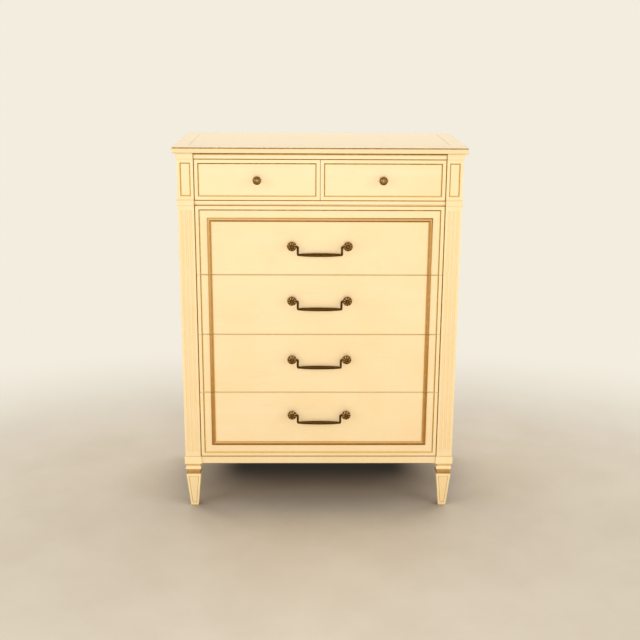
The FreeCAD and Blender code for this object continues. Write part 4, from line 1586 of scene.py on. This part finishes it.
@dataclass(frozen=True)
class PullPost:
    """A post of a pull: flange, shank, rosette in front, and the knuckle that holds the handle's pin."""

    reach: float = 0.025
    radius: float = 0.004
    flare: float = 0.0006
    foot: float = 0.0026
    start: float = 0.004
    flange_radius: float = 0.0065
    flange_thickness: float = 0.0014
    flange_edge: float = 0.001
    shoulder: float = 0.002
    overlap: float = 0.0005
    steps: int = 32
    knuckle_radius: float = 0.0048
    knuckle_length: float = 0.010
    knuckle_edge: float = 0.0006
    knuckle_steps: int = 28
    standoff: float = 0.012
    pivot_drop: float = 0.0025
    pin_radius: float = 0.0022
    pin_clearance: float = 0.0003

    def build(self, bm: bmesh.types.BMesh, origin: Vector) -> None:
        """Builds the post.

        Args:
            bm: The mesh that it goes into.
            origin: Where its axis leaves the drawer's field.
        """
        out = Axis.TO_FRONT.value
        rosette = Rosette()
        disc = self.reach - rosette.thickness
        turned(bm, [(0.0, 0.0), (self.flange_radius, 0.0), (self.flange_radius, self.flange_thickness),
                    (self.flange_radius - self.flange_edge, self.shoulder),
                    (self.radius + self.flare, self.foot), (self.radius, self.start),
                    (self.radius, disc + self.overlap), (0.0, disc + self.overlap)], origin, out, self.steps)
        rosette.build(bm, origin + out * disc)
        start = origin + Vector((-self.knuckle_length / 2, -self.standoff, -self.pivot_drop))
        bore, outer, end = self.pin_radius + self.pin_clearance, self.knuckle_radius, self.knuckle_length
        edge = self.knuckle_edge
        turned(bm, [(bore, 0.0), (outer - edge, 0.0), (outer, edge), (outer, end - edge),
                    (outer - edge, end), (bore, end), (bore, 0.0)], start, Axis.TO_RIGHT.value,
               self.knuckle_steps)


@dataclass(frozen=True)
class BailHandle:
    """The bent rod between the posts: pins, collars, elbows, arms and a swelling grip."""

    post: PullPost
    half_spacing: float
    pin_point: float = 0.8
    pin_bevel: float = 0.0005
    collar_radius: float = 0.0038
    collar_length: float = 0.0036
    collar_bevel: float = 0.0006
    collar_edge: float = 0.85
    arm_inset: float = 0.0197
    drop: float = 0.0275
    rod_radius: float = 0.0036
    elbow_radius: float = 0.0034
    elbow_steps: int = 6
    elbow_swell: float = 0.12
    grip_radius: float = 0.0062
    grip_steps: int = 14
    grip_fullness: float = 2.4
    grip_softness: float = 0.9
    sides: int = 20

    def build(self, bm: bmesh.types.BMesh, pivot: Vector) -> None:
        """Builds the handle.

        Args:
            bm: The mesh that it goes into.
            pivot: The middle of its pin line.
        """
        half = self.pin(pivot) + self.upper_elbow(pivot) + self.lower_elbow(pivot) + self.grip(pivot)
        mirrored = [(Vector((-centre.x, centre.y, centre.z)), Vector((along.x, along.y, -along.z)), radius)
                    for centre, along, radius in reversed(half[:-1])]
        swept(bm, half + mirrored, self.sides)

    def pin(self, pivot: Vector) -> list[Ring]:
        """The left pin and its collar.

        Args:
            pivot: The middle of the pin line.

        Returns:
            Each ring's centre, direction and radius.
        """
        right = Axis.TO_RIGHT.value
        start = pivot + right * -(self.half_spacing + self.post.knuckle_length / 2)
        pin, edge = self.post.pin_radius, self.collar_radius * self.collar_edge
        face = self.half_spacing - self.post.knuckle_length / 2 - self.post.pin_clearance
        rings = [(start, right, pin * self.pin_point), (start + right * self.pin_bevel, right, pin)]
        for x, radius in ((face, pin), (face, edge), (face - self.collar_bevel, self.collar_radius),
                          (face - self.collar_length + self.collar_bevel, self.collar_radius),
                          (face - self.collar_length, edge),
                          (face - self.collar_length - self.collar_bevel, self.rod_radius)):
            rings.append((pivot + right * -x, right, radius))
        return rings

    def elbow(self, centre: Vector, outward: float, turns: Sequence[float],
              swells: Sequence[float]) -> list[Ring]:
        """The rings of a quarter bend.

        Args:
            centre: The middle of its arc.
            outward: 1 where the arc lies above and right of its middle, -1 where it lies below and left.
            turns: How far each ring has turned from level to upright.
            swells: How much thicker than the rod each ring is.

        Returns:
            Each ring's centre, direction and radius.
        """
        right, down = Axis.TO_RIGHT.value, -Axis.UP.value
        rings = []
        for turn, swell in zip(turns, swells):
            along = right * math.cos(turn) + down * math.sin(turn)
            aside = right * self.elbow_radius * math.sin(turn) - down * self.elbow_radius * math.cos(turn)
            rings.append((centre + outward * aside, along, self.rod_radius * swell))
        return rings

    def upper_elbow(self, pivot: Vector) -> list[Ring]:
        """The bend from the collar down into the arm.

        Args:
            pivot: The middle of the pin line.

        Returns:
            Each ring's centre, direction and radius.
        """
        arm, bend = self.half_spacing - self.arm_inset, self.elbow_radius
        centre = pivot + Axis.TO_RIGHT.value * (-arm - bend) - Axis.UP.value * bend
        turns = [math.pi / 2 * index / self.elbow_steps for index in range(self.elbow_steps + 1)]
        return self.elbow(centre, 1.0, turns, [1.0] * len(turns))

    def lower_elbow(self, pivot: Vector) -> list[Ring]:
        """The bend from the arm into the grip, a little swollen.

        Args:
            pivot: The middle of the pin line.

        Returns:
            Each ring's centre, direction and radius.
        """
        arm, bend = self.half_spacing - self.arm_inset, self.elbow_radius
        right, down = Axis.TO_RIGHT.value, -Axis.UP.value
        centre = pivot + right * -arm + down * self.drop + right * bend - down * bend
        shares = [index / self.elbow_steps for index in range(self.elbow_steps + 1)]
        turns = [math.pi / 2 * (1 - share) for share in shares]
        return self.elbow(centre, -1.0, turns,
                          [1 + self.elbow_swell * math.sin(math.pi * share) for share in shares])

    def grip(self, pivot: Vector) -> list[Ring]:
        """The left half of the grip, which swells towards the middle.

        Args:
            pivot: The middle of the pin line.

        Returns:
            Each ring's centre, direction and radius.
        """
        right = Axis.TO_RIGHT.value
        end = self.elbow_radius - (self.half_spacing - self.arm_inset)
        rings = []
        for index in range(1, self.grip_steps + 1):
            share = index / self.grip_steps
            swell = (1 - (1 - share) ** self.grip_fullness) ** self.grip_softness
            radius = self.rod_radius + (self.grip_radius - self.rod_radius) * swell
            rings.append((pivot + right * end * (1 - share) - Axis.UP.value * self.drop, right, radius))
        return rings


@dataclass
class BailPull:
    """A swing-bail pull: two cast posts with rosettes, and the handle that hangs between them."""

    drawer: str
    finishes: Finishes
    post: PullPost = PullPost()
    half_spacing: float = 0.0935

    def build(self) -> None:
        """Builds the posts and the handle in place of their nodes."""
        front_low, front_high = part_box(self.drawer + "_front")
        low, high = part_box(self.drawer + "_pull_posts")
        field_y = front_low.y + FIELD_STEP
        height = (low.z + high.z) / 2
        self.posts(field_y, height, high.y - field_y, front_high.y - field_y)
        self.handle(Vector((0.0, field_y - self.post.standoff, height - self.post.pivot_drop)))

    def posts(self, field_y: float, height: float, stud_end: float, nut_seat: float) -> None:
        """Builds both posts with their studs and nuts.

        Args:
            field_y: Y of the drawer's field.
            height: Z of the posts.
            stud_end: How far behind the field the studs end.
            nut_seat: How far behind it the nuts start.
        """
        bm = bmesh.new()
        for side in (-1, 1):
            origin = Vector((side * self.half_spacing, field_y, height))
            self.post.build(bm, origin)
            StudAndNut(radius=self.post.pin_radius).build(bm, origin, stud_end, nut_seat)
        bmesh.ops.recalc_face_normals(bm, faces=bm.faces)
        node = self.drawer + "_pull_posts"
        Piece(node + "_cast", self.drawer, "antique_bronze", self.finishes.bronze, (node,)).finish(bm)

    def handle(self, pivot: Vector) -> None:
        """Builds the swinging handle.

        Args:
            pivot: The middle of its pin line.
        """
        bm = bmesh.new()
        BailHandle(self.post, self.half_spacing).build(bm, pivot)
        bmesh.ops.recalc_face_normals(bm, faces=bm.faces)
        node = self.drawer + "_bail"
        Piece(node + "_cast", node, "antique_bronze", self.finishes.handle, (node,),
              crease=math.radians(50)).finish(bm)


@dataclass
class InnerCase:
    """The plain wood inside and behind the case."""

    finishes: Finishes

    def build(self) -> None:
        """Dresses the frames, guides, divider and back."""
        across, upright = self.finishes.inner_across, self.finishes.inner_upright
        for node in ("base_frame", "lower_frame", "centre_frame", "upper_frame", "mid_frame", "top_frame"):
            dress(node, across)
        dress("drawer_guides", self.finishes.drawer_deep)
        dress("centre_divider", self.finishes.drawer_deep)
        dress("back_panel", upright)


@dataclass
class Studio:
    """The plain floor, the light and the camera."""

    lens: float = 58.615
    sensor_width: float = 36.0
    camera_place: Vector = field(default_factory=lambda: Vector((-0.0467, -3.64975, 1.6386)))
    pitch: float = math.radians(15.484)
    yaw: float = math.radians(0.811)
    roll: float = math.radians(0.309)
    backdrop: Colour = linear(243, 237, 223)
    sky: Colour = (1.0, 0.98, 0.95)
    sky_strength: float = 0.36
    lamp_aim: float = 0.7
    floor_size: float = 40.0
    floor_colours: tuple[Colour, Colour] = (linear(215, 203, 184), linear(221, 210, 192))
    floor_fade: tuple[float, float] = (0.9, 2.3)
    shadow: Colour = linear(112, 92, 66)
    shadow_reach: float = 0.45
    deep_shadow: Colour = linear(14, 8, 1)
    deep_sides: tuple[float, float] = (0.28, 0.44)
    deep_front: tuple[float, float] = (-0.12, 0.13)
    deep_back: tuple[float, float] = (0.14, 0.28)

    def build(self) -> None:
        """Builds everything that isn't the chest."""
        bpy.context.scene.view_settings.view_transform = "Standard"
        self.camera()
        self.world()
        self.floor()
        self.lamp("front_softbox", Vector((-0.05, -4.3, 1.25)), power=67.0, size=1.3)
        self.lamp("left_softbox", Vector((-3.2, -2.2, 1.9)), power=26.0, size=1.6)
        self.lamp("right_softbox", Vector((3.2, -2.2, 1.9)), power=26.0, size=1.6)
        self.lamp("overhead_softbox", Vector((0.0, 0.9, 4.4)), power=64.0, size=2.4)
        self.lamp("left_fill", Vector((-3.2, 2.0, 1.8)), power=22.0, size=1.6)
        self.lamp("right_fill", Vector((3.2, 2.0, 1.8)), power=22.0, size=1.6)

    def camera(self) -> None:
        """Places the camera at the photograph's viewing angle."""
        ahead = math.cos(self.pitch)
        forward = Vector((math.sin(self.yaw) * ahead, math.cos(self.yaw) * ahead, -math.sin(self.pitch)))
        level = Vector((math.cos(self.yaw), -math.sin(self.yaw), 0.0))
        above = level.cross(forward)
        right = level * math.cos(self.roll) + above * math.sin(self.roll)
        up = above * math.cos(self.roll) - level * math.sin(self.roll)
        data = bpy.data.cameras.new("camera")
        data.lens = self.lens
        data.sensor_width = self.sensor_width
        camera = bpy.data.objects.new("camera", data)
        turn = Matrix((right, up, -forward)).transposed().to_4x4()
        camera.matrix_world = Matrix.Translation(self.camera_place) @ turn
        bpy.context.scene.collection.objects.link(camera)
        bpy.context.scene.camera = camera

    def world(self) -> None:
        """Lights everything softly and shows the backdrop's colour behind it."""
        world = bpy.data.worlds.new("backdrop")
        world.use_nodes = True
        world.node_tree.nodes.clear()
        w = Wiring(world.node_tree)
        path = w.add("ShaderNodeLightPath")
        seen = w.maths("MAXIMUM", path.outputs["Is Camera Ray"], path.outputs["Is Glossy Ray"])
        shown = w.add("ShaderNodeBackground", {"Color": (*self.backdrop, 1.0), "Strength": 1.0})
        light = w.add("ShaderNodeBackground", {"Color": (*self.sky, 1.0), "Strength": self.sky_strength})
        mixed = w.add("ShaderNodeMixShader", {0: seen, 1: light.outputs[0], 2: shown.outputs[0]})
        w.add("ShaderNodeOutputWorld", {"Surface": mixed.outputs[0]})
        bpy.context.scene.world = world

    def floor(self) -> None:
        """Lays the floor."""
        bm = bmesh.new()
        bmesh.ops.create_grid(bm, x_segments=1, y_segments=1, size=self.floor_size)
        mesh = bpy.data.meshes.new("floor")
        bm.to_mesh(mesh)
        bm.free()
        mesh.materials.append(self.floor_finish())
        floor = bpy.data.objects.new("floor", mesh)
        bpy.context.scene.collection.objects.link(floor)

    def floor_finish(self) -> bpy.types.Material:
        """Builds the floor's finish: pale, in shadow under the chest, and fading into the backdrop.

        Returns:
            The material.
        """
        material, w, shader, place = started("studio_floor")
        output = shader.outputs[0].links[0].to_node
        tone = w.remap(w.noise(place, 3.0, 5.0, 0.6), 0.3, 0.7)
        colour = w.blend(tone, *self.floor_colours)
        around = openness(w, self.shadow_reach, alone=False)
        colour = w.blend(w.remap(around, 0.3, 0.85, 0.6, 0.0), colour, self.shadow)
        spot = w.add("ShaderNodeSeparateXYZ", {0: place}).outputs
        deep = w.maths("MULTIPLY", w.remap(w.maths("ABSOLUTE", spot["X"]), *self.deep_sides, 1.0, 0.0),
                       w.remap(spot["Y"], *self.deep_back, 1.0, 0.0))
        deep = w.maths("MULTIPLY", deep, w.remap(spot["Y"], *self.deep_front, 0.0, 0.95))
        colour = w.blend(deep, colour, self.deep_shadow)
        w.tree.links.new(colour, shader.inputs["Base Color"])
        shader.inputs["Roughness"].default_value = 0.7
        shader.inputs["Specular IOR Level"].default_value = 0.15
        shown = w.add("ShaderNodeEmission", {"Color": (*self.backdrop, 1.0), "Strength": 1.0})
        centred = w.add("ShaderNodeMapping", {"Vector": place, "Location": (0.0, 0.5, 0.0),
                                              "Scale": (0.75, 1.0, 1.0)}).outputs[0]
        away = w.add("ShaderNodeVectorMath", {0: centred}, operation="LENGTH").outputs["Value"]
        mixed = w.add("ShaderNodeMixShader", {0: w.remap(away, *self.floor_fade), 1: shader.outputs[0],
                                              2: shown.outputs[0]})
        w.tree.links.new(mixed.outputs[0], output.inputs["Surface"])
        return material

    def lamp(self, name: str, place: Vector, power: float, size: float) -> None:
        """Hangs a square soft lamp that looks at the chest.

        Args:
            name: The lamp's name.
            place: Where it hangs.
            power: Its power in watts.
            size: The length of its sides.
        """
        data = bpy.data.lights.new(name, "AREA")
        data.energy = power
        data.size = size
        lamp = bpy.data.objects.new(name, data)
        aim = Axis.UP.value * self.lamp_aim - place
        lamp.matrix_world = Matrix.Translation(place) @ aim.to_track_quat("-Z", "Y").to_matrix().to_4x4()
        bpy.context.scene.collection.objects.link(lamp)


def main() -> None:
    """Builds the chest, sub-assembly by sub-assembly, then the studio round it."""
    logging.basicConfig(level=logging.INFO, format="%(name)s: %(message)s")
    finishes = Finishes.build()
    PaintedJoinery(finishes).build()
    InnerCase(finishes).build()
    for name in ("top_left_drawer", "top_right_drawer"):
        Drawer(name, finishes).build()
        Knob(name, finishes).build()
    for number in range(1, LONG_DRAWERS + 1):
        name = f"long_drawer_{number}"
        Drawer(name, finishes, open_below=number < LONG_DRAWERS, open_above=number > 1,
               upper_edge=0.1).build()
        Bead(name, finishes).build()
        BailPull(name, finishes).build()
    Studio().build()


if __name__ == "__main__":
    main()
